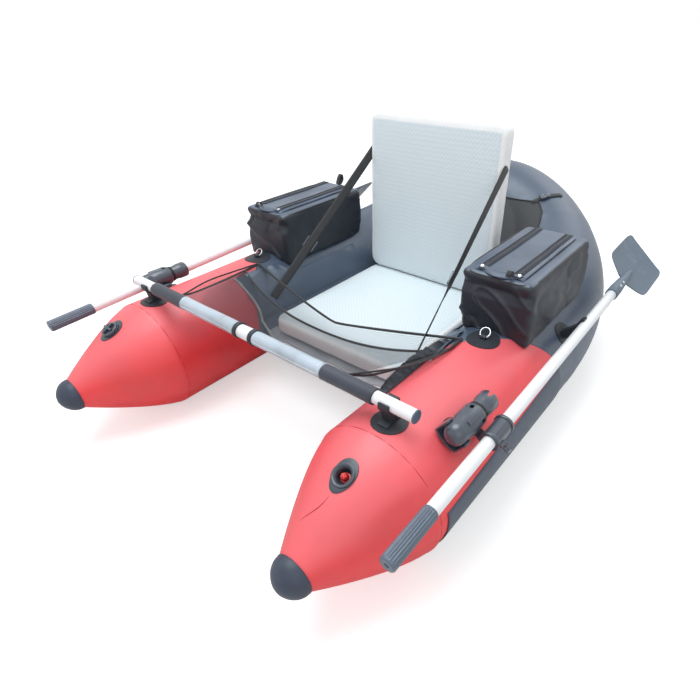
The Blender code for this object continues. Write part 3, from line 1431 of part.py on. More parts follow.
def lid_hinge(side):
    """The lid's sewn fold line, at the rear of the bag's mouth."""
    y = BAG_Y + BAG_LENGTH - BAG_MOUTH_REAR_MARGIN + BAG_LID_OVERLAP
    return Vector((side * BAG_CENTRE_X, y, bag_top() + CLEAR))


def make_lid(name, side, pivot):
    """Zipped flap over the bag's mouth, a little swollen."""
    hinge = lid_hinge(side)
    length = BAG_MOUTH_LENGTH + 2 * BAG_LID_OVERLAP
    frame = Place(hinge - Vector((0, length / 2, 0)), (1, 0, 0), (0, 1, 0), (0, 0, 1))
    half = BAG_MOUTH_WIDTH / 2 + BAG_LID_OVERLAP
    thick = BAG_LID_THICKNESS
    rings = []
    for inset, level in ((0.0, 0.0), (0.0, thick * 0.6), (thick, thick), (half * 0.6, thick * 1.5)):
        outline = rounded(half - inset, length / 2 - inset, max(BAG_CORNER - inset, thick), 3)
        rings.append([frame.at(x, y, level) for x, y in outline])
    return add(name, *skin(rings), "black_fabric", hinge, pivot)


def cargo_point(along):
    """Middle of the cargo deck, from behind the seat at 0 to the stern tube at 1."""
    start = Vector((0, SLING_Y + SLING_LENGTH + CLEAR, SLING_HEIGHT + SLING_THICKNESS))
    end = start + Vector((0, CARGO_LENGTH, CARGO_REAR_HEIGHT - start.z))
    here = start.lerp(end, along)
    here.z -= CARGO_SAG * math.sin(math.pi * along)
    return here


def cargo_half_width(here, along):
    """Half width of the deck: it tapers, and stays off the tube."""
    wide = CARGO_WIDTH_FRONT + (CARGO_WIDTH_REAR - CARGO_WIDTH_FRONT) * along
    low = hull_side(here.y, here.z, CARGO_HULL_GAP)
    high = hull_side(here.y, here.z + CARGO_THICKNESS, CARGO_HULL_GAP)
    return min(wide / 2, low, high)


def make_cargo_deck(hull):
    """Fabric deck behind the seat, rising to the stern tube's inner side."""
    end = 1.0
    while hull_gap(cargo_point(end)) < CARGO_HULL_GAP + CARGO_THICKNESS:
        end -= CARGO_TRIM_SHARE
    rings = []
    for i in range(CARGO_ROWS + 1):
        here = cargo_point(end * i / CARGO_ROWS)
        wide = cargo_half_width(here, end * i / CARGO_ROWS)
        low = [Vector((wide * share, here.y, here.z)) for share in CARGO_SHARES]
        high = [Vector((wide * share, here.y, here.z + CARGO_THICKNESS)) for share in CARGO_SHARES]
        rings.append(low + high[::-1])
    points, faces = skin(rings)
    return add("cargo_deck", points, faces, "black_fabric", cargo_point(0), hull)


def make_cargo_strap(hull):
    """Short webbing from the deck's rear corner up over the stern tube."""
    i = round(CARGO_STRAP_SHARE * BEND_STEPS) + 1
    centre = STERN_LINE[i]
    ahead = (STERN_LINE[i + 1] - STERN_LINE[i - 1]).normalized()
    inward = Vector((0, 0, 1)).cross(ahead).normalized()
    up = ahead.cross(inward).normalized()
    span = math.degrees(CARGO_STRAP_LENGTH / TUBE_RADIUS)
    half = CARGO_STRAP_WIDTH / 2
    rings = []
    for j in range(CARGO_STRAP_STEPS + 1):
        turn = math.radians(CARGO_STRAP_ANGLE + span * j / CARGO_STRAP_STEPS)
        out = inward * math.cos(turn) + up * math.sin(turn)
        low = centre + out * (TUBE_RADIUS + 2 * CLEAR)
        high = low + out * STRAP_THICKNESS
        rings.append([low - ahead * half, low + ahead * half, high + ahead * half, high - ahead * half])
    points, faces = skin(rings)
    return add("cargo_strap", points, faces, "black_fabric", centre, hull)


def make_side(word, side, hull):
    make_pontoon(word + "_pontoon", side, hull)
    make_nose_cap(word + "_nose_cap", side, hull)
    make_rub_band(word + "_rub_band", side, hull)
    make_valve(word + "_valve", side, hull)
    make_saddle(word + "_bar_saddle", side, hull)
    make_ring_patch(word + "_ring_patch", side, hull)
    make_ring(word + "_ring", side, hull)
    make_mount_base(word + "_mount_base", side, hull)
    mount = mount_place(side)
    swivel = empty(word + "_swivel_axis", mount.o, None, hull)
    make_bracket(word + "_oar_bracket", side, swivel)
    make_clamp_cap(word + "_clamp_cap", side, swivel)
    make_knob(word + "_clamp_knob", side, swivel)
    barrel = barrel_place(side)
    tilt = empty(word + "_barrel_axis", barrel.o, None, swivel)
    make_barrel(word + "_rod_barrel", side, tilt)
    make_socket(word + "_rod_socket", side, tilt)
    oar = empty(word + "_oar_axis", oar_place(side).o, None, swivel)
    make_shaft(word + "_oar_shaft", side, oar)
    make_grip(word + "_oar_grip", side, oar)
    make_blade(word + "_oar_blade", side, oar)
    make_keeper(word + "_oar_keeper", side, hull)
    make_strap(word + "_back_strap", side, hull)
    make_bag(word + "_bag", side, hull)
    lid = empty(word + "_lid_axis", lid_hinge(side), None, hull)
    make_lid(word + "_bag_lid", side, lid)


def main():
    for found in list(bpy.data.objects):
        bpy.data.objects.remove(found)
    hull = empty("hull", Vector((0, 0, 0)))
    make_rear_tube(hull)
    for word, side in SIDES:
        make_side(word, side, hull)
    make_poppet("right_valve_poppet", 1, hull)
    make_valve_cap("left_valve_cap", -1, hull)
    make_crossbar(hull)
    make_sling(hull)
    make_seat(hull)
    fold = empty("back_fold_axis", back_place().o, None, hull)
    make_backrest(fold)
    make_apron_net(hull)
    make_apron_border(hull)
    make_cargo_deck(hull)
    make_cargo_strap(hull)


if __name__ == "__main__":
    main()
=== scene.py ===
"""Detailed model of an inflatable float tube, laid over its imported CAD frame."""

import json
import math

import bmesh
import bpy
import numpy as np
from mathutils import Matrix, Vector, noise

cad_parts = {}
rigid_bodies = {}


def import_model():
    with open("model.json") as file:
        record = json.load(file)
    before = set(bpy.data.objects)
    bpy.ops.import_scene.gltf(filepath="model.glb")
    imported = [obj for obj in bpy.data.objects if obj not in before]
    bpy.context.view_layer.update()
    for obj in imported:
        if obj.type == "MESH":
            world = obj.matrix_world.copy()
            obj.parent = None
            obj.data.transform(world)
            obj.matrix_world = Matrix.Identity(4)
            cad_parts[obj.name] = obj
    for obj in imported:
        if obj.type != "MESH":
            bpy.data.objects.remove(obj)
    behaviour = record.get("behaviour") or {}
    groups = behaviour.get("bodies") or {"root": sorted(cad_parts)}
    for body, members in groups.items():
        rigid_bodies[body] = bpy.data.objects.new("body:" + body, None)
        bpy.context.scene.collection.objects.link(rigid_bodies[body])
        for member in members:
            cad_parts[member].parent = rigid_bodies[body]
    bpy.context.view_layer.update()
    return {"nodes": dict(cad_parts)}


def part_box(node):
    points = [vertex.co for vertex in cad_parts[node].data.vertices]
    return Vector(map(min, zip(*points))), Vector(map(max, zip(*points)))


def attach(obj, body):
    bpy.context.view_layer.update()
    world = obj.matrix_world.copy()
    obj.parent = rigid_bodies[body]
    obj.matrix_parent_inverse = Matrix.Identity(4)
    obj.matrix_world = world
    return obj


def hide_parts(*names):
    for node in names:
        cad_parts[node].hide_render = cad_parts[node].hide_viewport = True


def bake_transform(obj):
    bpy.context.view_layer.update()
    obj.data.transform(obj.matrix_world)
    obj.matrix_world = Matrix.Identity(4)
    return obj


bl_info = {
    "name": "Float Tube",
    "version": (1, 0, 0),
    "blender": (4, 5, 0),
    "location": "View3D > Sidebar > Float Tube",
    "description": "Builds an inflatable float tube with its seat, bags, apron, oars and rod holders",
    "category": "Add Mesh",
}

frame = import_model()
SIDES = (("right", 1), ("left", -1))

# Hull lines, as in the CAD
TUBE_RADIUS = 0.155
TUBE_X = 0.415
NOSE_Y = -0.8435
SEAM_Y = -0.8015
TAPER_Y = -0.578
SEAM_RADIUS = 0.0411
NOSE_SHOULDER = 1.31
MITRE_Y = -0.1765
MITRE_SLOPE = 0.956
BEND_Y = 0.0665
STERN_Y = 0.6885
SIDE_HANDLE = 0.52
STERN_HANDLE = 0.125
STERN_RISE = 0.181
STERN_RISE_POWER = 2.3

# Sections of the stern tube that are slanted at each end, and those that start a panel seam
MITRE_RINGS = 20
STERN_SEAMS = (24, 56, 88, 120, 152)

# Places of the other groups
VALVE_Y = -0.6645
BAR_Y = -0.5315
BAR_Z = 0.353
BAR_RADIUS = 0.0135
SLING_Y = -0.3085
SLING_END_Y = 0.2365
SLING_Z = 0.1485
SEAT_Y = -0.2885
SEAT_Z = 0.1518
SEAT_TOP = 0.2058
BACK_Y = 0.1673
BACK_Z = 0.2061
BACK_LEAN = 4.4
BAG_X = 0.408
BAG_Y = -0.1305
BAG_TOP = 0.45
BAG_HALF = (0.094, 0.179)
BAR_SKIN = BAR_RADIUS + 0.0003
SLING_ANGLE = 168.0
SLING_LIFT = 0.0022
SLING_HALF = 0.228

# Width, place, height, sag, bow and power of the apron's hem and rim
HEM = (0.742, -0.2605, 0.3073, 0.060, 0.048, 2.2)
RIM = (0.750, -0.2055, 0.3093, 0.062, 0.051, 1.08)

# Top, lower end, turns in degrees and the buckle's share of each back strap
STRAPS = {
    1: (Vector((0.2356, 0.22517, 0.59646)), Vector((0.2850, -0.2900, 0.2460)), (0.0, -14.0, -33.0, -28.0), 0.605),
    -1: (Vector((-0.2356, 0.22517, 0.59646)), Vector((-0.2738, -0.2450, 0.2365)), (30.0, 44.0, 44.0, 30.0), 0.655),
}

# The photograph's camera: azimuth, elevation and roll in degrees, place in metres, the rest in pixels
PHOTO_ANGLES = (38.13, 34.13, -1.24)
PHOTO_PLACE = (0.875, -1.0725, 0.952)
PHOTO_SIZE = 700.0
PHOTO_FOCUS = 497.1
PHOTO_MIDDLE = (402.7, 350.5)


# Settings a user may change
class HullSettings(bpy.types.PropertyGroup):
    red: bpy.props.FloatVectorProperty(
        name="Pontoon colour", description="Colour of the coated front tubes", subtype="COLOR",
        size=4, min=0.0, max=1.0, default=(0.89, 0.022, 0.028, 1.0),
    )
    dark: bpy.props.FloatVectorProperty(
        name="Stern colour", description="Colour of the coated stern tube", subtype="COLOR",
        size=4, min=0.0, max=1.0, default=(0.058, 0.087, 0.136, 1.0),
    )
    tape_width: bpy.props.FloatProperty(
        name="Seam tape width", description="Width of the welded overlap at a seam", unit="LENGTH",
        default=0.014, min=0.004, max=0.04,
    )
    tape_lift: bpy.props.FloatProperty(
        name="Seam tape lift", description="How far an overlap stands proud", unit="LENGTH",
        default=0.0007, min=0.0, max=0.003,
    )
    pucker: bpy.props.FloatProperty(
        name="Pucker depth", description="Depth of the gathers beside the seams", unit="LENGTH",
        default=0.0012, min=0.0, max=0.004,
    )


class SeatSettings(bpy.types.PropertyGroup):
    colour: bpy.props.FloatVectorProperty(
        name="Pad colour", description="Colour of the cushion and backrest", subtype="COLOR",
        size=4, min=0.0, max=1.0, default=(0.78, 0.86, 0.90, 1.0),
    )
    pressure: bpy.props.FloatProperty(
        name="Air pressure", description="Pressure that swells the pads", default=4.0, min=0.0, max=10.0,
    )
    swell: bpy.props.FloatProperty(
        name="Largest swell", description="How far the cloth may move", unit="LENGTH",
        default=0.005, min=0.0, max=0.03,
    )
    border: bpy.props.FloatProperty(
        name="Border width", description="Smooth border round the patterned panel", unit="LENGTH",
        default=0.013, min=0.0, max=0.05,
    )


class BagSettings(bpy.types.PropertyGroup):
    colour: bpy.props.FloatVectorProperty(
        name="Nylon colour", description="Colour of the bag fabric", subtype="COLOR",
        size=4, min=0.0, max=1.0, default=(0.018, 0.023, 0.034, 1.0),
    )
    fold_depth: bpy.props.FloatProperty(
        name="Fold depth", description="Depth of the soft folds on the sides", unit="LENGTH",
        default=0.008, min=0.0, max=0.02,
    )
    zip_width: bpy.props.FloatProperty(
        name="Zip width", description="Width of the zip tape", unit="LENGTH", default=0.015, min=0.005, max=0.03,
    )


class ApronSettings(bpy.types.PropertyGroup):
    mesh_pitch: bpy.props.FloatProperty(
        name="Mesh pitch", description="Distance between the threads of the mesh", unit="LENGTH",
        default=0.0032, min=0.001, max=0.02,
    )
    piping_radius: bpy.props.FloatProperty(
        name="Piping radius", description="Radius of the black piping", unit="LENGTH",
        default=0.0033, min=0.001, max=0.01,
    )
    sling_colour: bpy.props.FloatVectorProperty(
        name="Sling colour", description="Colour of the seat sling", subtype="COLOR",
        size=4, min=0.0, max=1.0, default=(0.52, 0.55, 0.59, 1.0),
    )


class OarSettings(bpy.types.PropertyGroup):
    shaft: bpy.props.FloatVectorProperty(
        name="Shaft colour", description="Colour of the painted shafts and crossbar", subtype="COLOR",
        size=4, min=0.0, max=1.0, default=(0.90, 0.91, 0.93, 1.0),
    )
    blade: bpy.props.FloatVectorProperty(
        name="Blade colour", description="Colour of the moulded blades", subtype="COLOR",
        size=4, min=0.0, max=1.0, default=(0.105, 0.145, 0.195, 1.0),
    )
    flutes: bpy.props.IntProperty(
        name="Grip flutes", description="Number of grooves round a hand grip", default=18, min=6, max=40,
    )


class StageSettings(bpy.types.PropertyGroup):
    key_power: bpy.props.FloatProperty(
        name="Key light", description="Power of the large overhead light", unit="POWER", default=62.0, min=0.0,
    )
    fill_power: bpy.props.FloatProperty(
        name="Fill light", description="Power of the front light", unit="POWER", default=12.0, min=0.0,
    )
    sky: bpy.props.FloatProperty(
        name="Sky strength", description="Strength of the plain pale surroundings", default=0.62, min=0.0,
    )


def settings(group):
    """What the user has set for one group of pieces."""
    return getattr(bpy.context.scene, "float_tube_" + group)


def clamp(value, low=0.0, high=1.0):
    return max(low, min(high, value))


def tint(colour, factor, add=0.0, most=1.0):
    """A colour made darker or paler."""
    return tuple(min(most, c * factor + add) for c in colour[:3])


# Shader nodes
def plug(tree, socket, value):
    """Links a socket to another one, or gives it a plain value."""
    if isinstance(value, bpy.types.NodeSocket):
        tree.links.new(value, socket)
    else:
        socket.default_value = value


def maths(tree, operation, a, b=None):
    """The result of a Math node on sockets or numbers."""
    node = tree.nodes.new("ShaderNodeMath")
    node.operation = operation
    plug(tree, node.inputs[0], a)
    if b is not None:
        plug(tree, node.inputs[1], b)
    return node.outputs[0]


def scaled(tree, value, factor, base):
    """A value times a factor, plus a base."""
    return maths(tree, "ADD", maths(tree, "MULTIPLY", value, factor), base)


def spread(tree, value, low, high, to_low=0.0, to_high=1.0):
    """A smooth Map Range from one span to another."""
    node = tree.nodes.new("ShaderNodeMapRange")
    node.interpolation_type = "SMOOTHSTEP"
    for key, number in zip(("From Min", "From Max", "To Min", "To Max"), (low, high, to_low, to_high)):
        node.inputs[key].default_value = number
    tree.links.new(value, node.inputs["Value"])
    return node.outputs["Result"]


def speckle(tree, vector, scale, detail=3.0, rough=0.55):
    """The value of a Noise node on a vector."""
    node = tree.nodes.new("ShaderNodeTexNoise")
    node.inputs["Detail"].default_value = detail
    node.inputs["Roughness"].default_value = rough
    tree.links.new(vector, node.inputs["Vector"])
    plug(tree, node.inputs["Scale"], scale)
    return node.outputs["Fac"]


def mapped(tree, vector, scale=(1.0, 1.0, 1.0), turn=(0.0, 0.0, 0.0)):
    """A vector stretched and turned."""
    node = tree.nodes.new("ShaderNodeMapping")
    node.inputs["Scale"].default_value = scale
    node.inputs["Rotation"].default_value = turn
    tree.links.new(vector, node.inputs["Vector"])
    return node.outputs[0]


def apart(tree, vector):
    """The three parts of a vector."""
    node = tree.nodes.new("ShaderNodeSeparateXYZ")
    tree.links.new(vector, node.inputs[0])
    return node.outputs


def upward(tree, low):
    """How far a face looks up, above a low share of its normal."""
    face = tree.nodes.new("ShaderNodeNewGeometry")
    return spread(tree, apart(tree, face.outputs["Normal"])[2], low, 1.0)


# Node groups that several finishes share
def node_group(name, label, value, outputs):
    """An empty shader node group of a vector and one number, with the sockets of its two ends."""
    made = bpy.data.node_groups.new(name, "ShaderNodeTree")
    made.interface.new_socket(name="Vector", in_out="INPUT", socket_type="NodeSocketVector")
    number = made.interface.new_socket(name=label, in_out="INPUT", socket_type="NodeSocketFloat")
    number.default_value = value
    for key in outputs:
        made.interface.new_socket(name=key, in_out="OUTPUT", socket_type="NodeSocketFloat")
    return made, made.nodes.new("NodeGroupInput").outputs, made.nodes.new("NodeGroupOutput").inputs


def coated_cloth_group():
    """Height of a coated cloth's faint threads, with slow changes of tone."""
    tree, start, end = node_group("Coated cloth", "Thread Scale", 900.0, ("Height", "Tone"))
    fine = speckle(tree, start["Vector"], start["Thread Scale"], 2.0)
    broad = speckle(tree, start["Vector"], 9.0, 4.0)
    soft = speckle(tree, start["Vector"], 55.0)
    tree.links.new(scaled(tree, fine, 0.35, maths(tree, "MULTIPLY", soft, 0.65)), end["Height"])
    tree.links.new(spread(tree, broad, 0.3, 0.7), end["Tone"])
    return tree


def weave_group():
    """Height of a plain weave on a flat pair of coordinates, in threads per unit, and its gaps."""
    tree, start, end = node_group("Plain weave", "Threads", 600.0, ("Height", "Gap"))
    waves = []
    for part in apart(tree, start["Vector"])[:2]:
        turn = maths(tree, "MULTIPLY", part, start["Threads"])
        waves.append(maths(tree, "SINE", maths(tree, "MULTIPLY", turn, math.pi)))
    tree.links.new(scaled(tree, maths(tree, "MULTIPLY", *waves), 0.5, 0.5), end["Height"])
    tree.links.new(maths(tree, "MINIMUM", *(maths(tree, "ABSOLUTE", wave) for wave in waves)), end["Gap"])
    return tree


def wear_group():
    """Masks of rubbed patches, thin scratches and dust that settles on upward faces."""
    tree, start, end = node_group("Handling wear", "Amount", 0.3, ("Rub", "Scratch", "Dust"))
    vector = start["Vector"]
    squeezed = mapped(tree, vector, (60.0, 900.0, 320.0), (0.4, 0.2, 0.7))
    masks = {
        "Rub": spread(tree, speckle(tree, vector, 24.0, 6.0, 0.65), 0.52, 0.72),
        "Scratch": spread(tree, speckle(tree, squeezed, 1.0, 2.0), 0.66, 0.74),
        "Dust": maths(tree, "MULTIPLY", upward(tree, 0.2), speckle(tree, vector, 40.0, 5.0)),
    }
    for key, mask in masks.items():
        tree.links.new(maths(tree, "MULTIPLY", mask, start["Amount"]), end[key])
    return tree


GROUPS = {"Coated cloth": coated_cloth_group, "Plain weave": weave_group, "Handling wear": wear_group}


# Materials
class Finish:
    """A material in the making: its tree, its shader and where its pattern sits."""

    def __init__(self, name, coords="Object"):
        self.material = bpy.data.materials.new(name)
        self.material.use_nodes = True
        self.tree = self.material.node_tree
        self.shader = self.tree.nodes["Principled BSDF"]
        places = self.tree.nodes.new("ShaderNodeTexCoord").outputs
        self.object, self.vector = places["Object"], places[coords]

    def group(self, name, vector=None, **values):
        """The results of a shared node group with values of this material's own."""
        node = self.tree.nodes.new("ShaderNodeGroup")
        node.node_tree = bpy.data.node_groups.get(name) or GROUPS[name]()
        self.tree.links.new(vector or self.vector, node.inputs["Vector"])
        for key, value in values.items():
            node.inputs[key.replace("_", " ")].default_value = value
        return node.outputs

    def wear(self, amount):
        return self.group("Handling wear", self.object, Amount=amount)

    def attribute(self, name):
        node = self.tree.nodes.new("ShaderNodeAttribute")
        node.attribute_name = name
        return node.outputs

    def blend(self, factor, a, b):
        """A colour between two others, which are colours or sockets."""
        node = self.tree.nodes.new("ShaderNodeMix")
        node.data_type = "RGBA"
        plug(self.tree, node.inputs[0], factor)
        for socket, value in zip(node.inputs[6:8], (a, b)):
            plain = not isinstance(value, bpy.types.NodeSocket)
            plug(self.tree, socket, (*tuple(value)[:3], 1.0) if plain else value)
        return node.outputs[2]

    def bump(self, height, depth, before=None):
        """A normal raised by a height, on top of another bump."""
        node = self.tree.nodes.new("ShaderNodeBump")
        node.inputs["Strength"].default_value = 1.0
        node.inputs["Distance"].default_value = depth
        self.tree.links.new(height, node.inputs["Height"])
        if before is not None:
            self.tree.links.new(before, node.inputs["Normal"])
        return node.outputs[0]

    def done(self, colour, rough, normal, **values):
        """Feeds the shader its three patterns and sets its constants."""
        for key, value in (("Base Color", colour), ("Roughness", rough), ("Normal", normal)):
            self.tree.links.new(value, self.shader.inputs[key])
        for key, value in values.items():
            self.shader.inputs[key.replace("_", " ")].default_value = value
        return self.material


def coated(name, colour, rough, sheen=0.0, thread=900.0, depth=0.00025, specular=0.7, coat=0.12, painted_highlight=None):
    """PVC-coated hull cloth: satin, with faint threads, slow tone changes, a little dust and, when given, a painted
    highlight on upward faces.
    """
    made = Finish(name)
    tree = made.tree
    cloth, wear = made.group("Coated cloth", Thread_Scale=thread), made.wear(0.16)
    toned = made.blend(cloth["Tone"], tint(colour, 0.86), colour)
    dusty = made.blend(wear["Dust"], toned, tint(colour, 1.1, 0.03))
    if painted_highlight:
        # Upward faces blend toward the given pink, a painted highlight, so dusty now holds dust and painted highlight.
        dusty = made.blend(maths(tree, "MULTIPLY", upward(tree, 0.22), 0.28), dusty, painted_highlight)
    uneven = scaled(tree, wear["Rub"], 0.4, scaled(tree, cloth["Tone"], 0.06, rough))
    return made.done(
        dusty, uneven, made.bump(cloth["Height"], depth), Coat_Weight=coat, Coat_Roughness=0.45,
        Sheen_Weight=sheen, Sheen_Roughness=0.4, Specular_IOR_Level=specular,
    )


def moulded(name, colour, rough, depth=0.00008, grain=1400.0, wear_amount=0.35, coat=0.0):
    """Moulded plastic or rubber with a spark-eroded grain, rubbed paler in places."""
    made = Finish(name)
    tree = made.tree
    wear = made.wear(wear_amount)
    rubbed = made.blend(wear["Rub"], colour, tint(colour, 1.5, 0.02))
    dusty = made.blend(maths(tree, "MULTIPLY", wear["Dust"], 0.12), rubbed, (0.24, 0.28, 0.33))
    grained = made.bump(speckle(tree, made.vector, grain, 2.0), depth)
    return made.done(
        dusty, scaled(tree, wear["Rub"], -0.25, rough), made.bump(wear["Scratch"], -depth * 0.8, grained),
        Coat_Weight=coat, Coat_Roughness=0.3,
    )


def metal(name, colour, rough, metallic, stretch):
    """Drawn metal or its paint: fine lines along the bar and small scratches."""
    made = Finish(name)
    tree = made.tree
    wear = made.wear(0.4)
    drawn = speckle(tree, mapped(tree, made.vector, stretch), 1.0)
    rubbed = made.blend(wear["Rub"], colour, tint(colour, 0.82))
    uneven = scaled(tree, wear["Scratch"], 0.3, scaled(tree, drawn, 0.12, rough))
    lines = made.bump(wear["Scratch"], -0.00005, made.bump(drawn, 0.00004))
    return made.done(rubbed, uneven, lines, Metallic=metallic)


def fabric(name, colour, rough, threads, depth, sheen=0.25, fold=0.0, coords="Object"):
    """Woven cloth: threads, fluffy sheen and slow shading where it has been handled."""
    made = Finish(name, coords)
    if coords == "UV":
        weave = made.group("Plain weave", Threads=threads)
        shade = weave["Gap"]
    else:
        weave = made.group("Coated cloth", Thread_Scale=threads * 2.4)
        shade = weave["Tone"]
    wear = made.wear(0.35)
    woven = made.blend(shade, tint(colour, 0.7), colour)
    dusty = made.blend(wear["Dust"], woven, tint(colour, 1.25, 0.01))
    normal = made.bump(weave["Height"], depth)
    if fold:
        normal = made.bump(speckle(made.tree, made.object, 26.0, 5.0, 0.6), fold, normal)
    uneven = scaled(made.tree, shade, -0.12, rough)
    return made.done(dusty, uneven, normal, Sheen_Weight=sheen, Sheen_Roughness=0.45)


def pad_finish(name, colour):
    """Drop-stitch pad: a raised diamond pattern on the panels, and a smooth welded border and side walls painted paler
    as a painted highlight.
    """
    made = Finish(name)
    tree = made.tree
    panel = made.attribute("panel")["Fac"]
    turned = mapped(tree, made.attribute("pad_place")["Vector"], turn=(0.0, 0.0, math.radians(45.0)))
    diamonds = made.group("Plain weave", turned, Threads=108.0)
    cloth, wear = made.group("Coated cloth", Thread_Scale=700.0), made.wear(0.2)
    patterned = made.blend(maths(tree, "MULTIPLY", panel, diamonds["Gap"]), tint(colour, 0.9), colour)
    # The border and side walls are painted paler than the panels: a painted highlight.
    smooth = made.blend(panel, tint(colour, 1.35, most=0.97), patterned)
    painted_lit_and_rubbed = made.blend(wear["Rub"], smooth, tint(colour, 0.9))
    lattice = made.bump(maths(tree, "MULTIPLY", diamonds["Height"], panel), 0.0003)
    return made.done(
        painted_lit_and_rubbed, scaled(tree, cloth["Tone"], 0.08, 0.46), made.bump(cloth["Height"], 0.00012, lattice),
        Coat_Weight=0.08, Coat_Roughness=0.4,
    )


def mesh_finish(name, colour, pitch, open_share):
    """Knotless see-through mesh: thin dark threads on the piece's own map, holes between them."""
    made = Finish(name, "UV")
    tree = made.tree
    gap, wear = made.group("Plain weave", Threads=1.0 / pitch)["Gap"], made.wear(0.3)
    solid = spread(tree, gap, open_share - 0.12, open_share + 0.12, 1.0, 0.0)
    tree.links.new(solid, made.shader.inputs["Alpha"])
    dusty = made.blend(wear["Dust"], colour, tint(colour, 1.6))
    return made.done(dusty, scaled(tree, wear["Rub"], 0.2, 0.6), made.bump(solid, 0.0003))


def webbing(name, colour):
    """Flat polypropylene webbing: ribs across it and a firm edge, on its own map."""
    made = Finish(name, "UV")
    tree = made.tree
    across, along = apart(tree, made.vector)[:2]
    ribs = maths(tree, "SINE", maths(tree, "MULTIPLY", along, 2200.0))
    twill = maths(tree, "SINE", maths(tree, "MULTIPLY", maths(tree, "ADD", across, along), 4200.0))
    height = scaled(tree, ribs, 0.6, maths(tree, "MULTIPLY", twill, 0.4))
    shade = spread(tree, height, -0.8, 0.8)
    woven = made.blend(shade, tint(colour, 0.6), colour)
    rubbed = made.blend(made.wear(0.4)["Rub"], woven, tint(colour, 1.7, 0.01))
    uneven = scaled(tree, shade, -0.15, 0.72)
    return made.done(rubbed, uneven, made.bump(height, 0.0002), Sheen_Weight=0.2, Sheen_Roughness=0.5)


def zip_finish(name, colour):
    """Zip: rows of teeth in the middle of a woven tape, on its own map."""
    made = Finish(name, "UV")
    tree = made.tree
    across, along = apart(tree, made.vector)[:2]
    teeth = maths(tree, "SINE", maths(tree, "MULTIPLY", along, 3000.0))
    from_middle = maths(tree, "ABSOLUTE", maths(tree, "ADD", across, -0.0075))
    middle = spread(tree, from_middle, 0.0025, 0.0032, 1.0, 0.0)
    weave, wear = made.group("Plain weave", Threads=900.0), made.wear(0.3)
    both = made.blend(middle, tint(colour, 0.7), tint(colour, 1.5))
    dusty = made.blend(wear["Dust"], both, tint(colour, 1.6, 0.02))
    row = maths(tree, "MULTIPLY", maths(tree, "ADD", teeth, 1.0), middle)
    normal = made.bump(row, 0.0006, made.bump(weave["Height"], 0.0001))
    return made.done(dusty, scaled(tree, middle, -0.3, 0.7), normal)


def seam_and_crease_shade_finish(name):
    """Deep red of a welded seam's line, and painted shade of a crease, in the hull cloth."""
    made = Finish(name)
    tone = speckle(made.tree, made.vector, 200.0)
    colour = made.blend(tone, (0.38, 0.014, 0.020), (0.48, 0.020, 0.028))
    return made.done(colour, scaled(made.tree, tone, 0.1, 0.6), made.bump(tone, 0.0001))


def finish(name):
    """One named finish, made on first use."""
    found = bpy.data.materials.get(name)
    if found:
        return found
    hull, bags, apron, oars = (settings(group) for group in ("hull", "bags", "apron", "oars"))
    net = (0.030, 0.034, 0.042)
    # A paler copy of the bag nylon for the tops of the bags: painted light on faces turned up.
    lid = tuple(c * k for c, k in zip(bags.colour[:3], (4.6, 4.9, 4.9)))
    makers = {
        # The last value of the red hull cloth is the pink of its painted highlight on upward faces.
        "red hull cloth": (coated, hull.red, 0.47, 0.0, 900.0, 0.00025, 0.9, 0.2, (0.96, 0.38, 0.44)),
        "dark hull cloth": (coated, hull.dark, 0.36, 0.08),
        "wear strip": (coated, tint(hull.dark, 0.8), 0.5, 0.1, 500.0, 0.0004),
        "dark crease": (seam_and_crease_shade_finish,),
        "black rubber": (moulded, (0.018, 0.022, 0.030), 0.5, 0.0001, 1100.0, 0.3),
        "grey rubber": (moulded, (0.036, 0.048, 0.078), 0.46, 0.0001, 1100.0, 0.3),
        "seal rubber": (moulded, (0.006, 0.007, 0.009), 0.6, 0.00005, 1100.0, 0.1),
        "valve rubber": (moulded, (0.040, 0.052, 0.070), 0.32, 0.00005, 1100.0, 0.3, 0.4),
        "black plastic": (moulded, (0.040, 0.054, 0.078), 0.30, 0.00008, 1500.0, 0.35, 0.8),
        "grip rubber": (moulded, (0.092, 0.124, 0.172), 0.34, 0.0002, 900.0, 0.4, 0.5),
        "blade plastic": (moulded, oars.blade, 0.42, 0.0002, 800.0, 0.4),
        "red plastic": (moulded, (0.75, 0.03, 0.03), 0.3, 0.00003, 1500.0, 0.2, 0.4),
        "white paint": (metal, oars.shaft, 0.22, 0.0, (900.0, 6.0, 900.0)),
        "white bar paint": (metal, oars.shaft, 0.22, 0.0, (6.0, 900.0, 900.0)),
        "bright steel": (metal, (0.72, 0.73, 0.75), 0.16, 1.0, (200.0, 200.0, 200.0)),
        "bag nylon": (fabric, bags.colour, 0.56, 700.0, 0.0001, 0.05, 0.0005),
        "bag lid nylon": (fabric, lid, 0.42, 700.0, 0.0001, 0.15),
        "silver piping": (fabric, (0.62, 0.66, 0.70), 0.38, 900.0, 0.0001, 0.4),
        "bar sleeve cloth": (fabric, (0.50, 0.57, 0.65), 0.28, 900.0, 0.0001, 0.3, 0.0020),
        "foam cover": (fabric, (0.042, 0.050, 0.072), 0.6, 1100.0, 0.0002, 0.2),
        "black piping": (fabric, (0.018, 0.018, 0.021), 0.6, 1500.0, 0.0002, 0.2),
        "sling cloth": (fabric, apron.sling_colour, 0.5, 700.0, 0.00012, 0.35, 0.0008, "UV"),
        "deck cloth": (fabric, (0.030, 0.032, 0.037), 0.68, 500.0, 0.0003, 0.3, 0.001, "UV"),
        "pad cloth": (pad_finish, settings("seat").colour),
        "apron mesh": (mesh_finish, net, apron.mesh_pitch, 0.50),
        "band mesh": (mesh_finish, net, apron.mesh_pitch * 1.6, 0.16),
        "black webbing": (webbing, (0.022, 0.023, 0.027)),
        "bag zip": (zip_finish, (0.022, 0.027, 0.040)),
    }
    maker, *values = makers[name]
    return maker(name, *values)


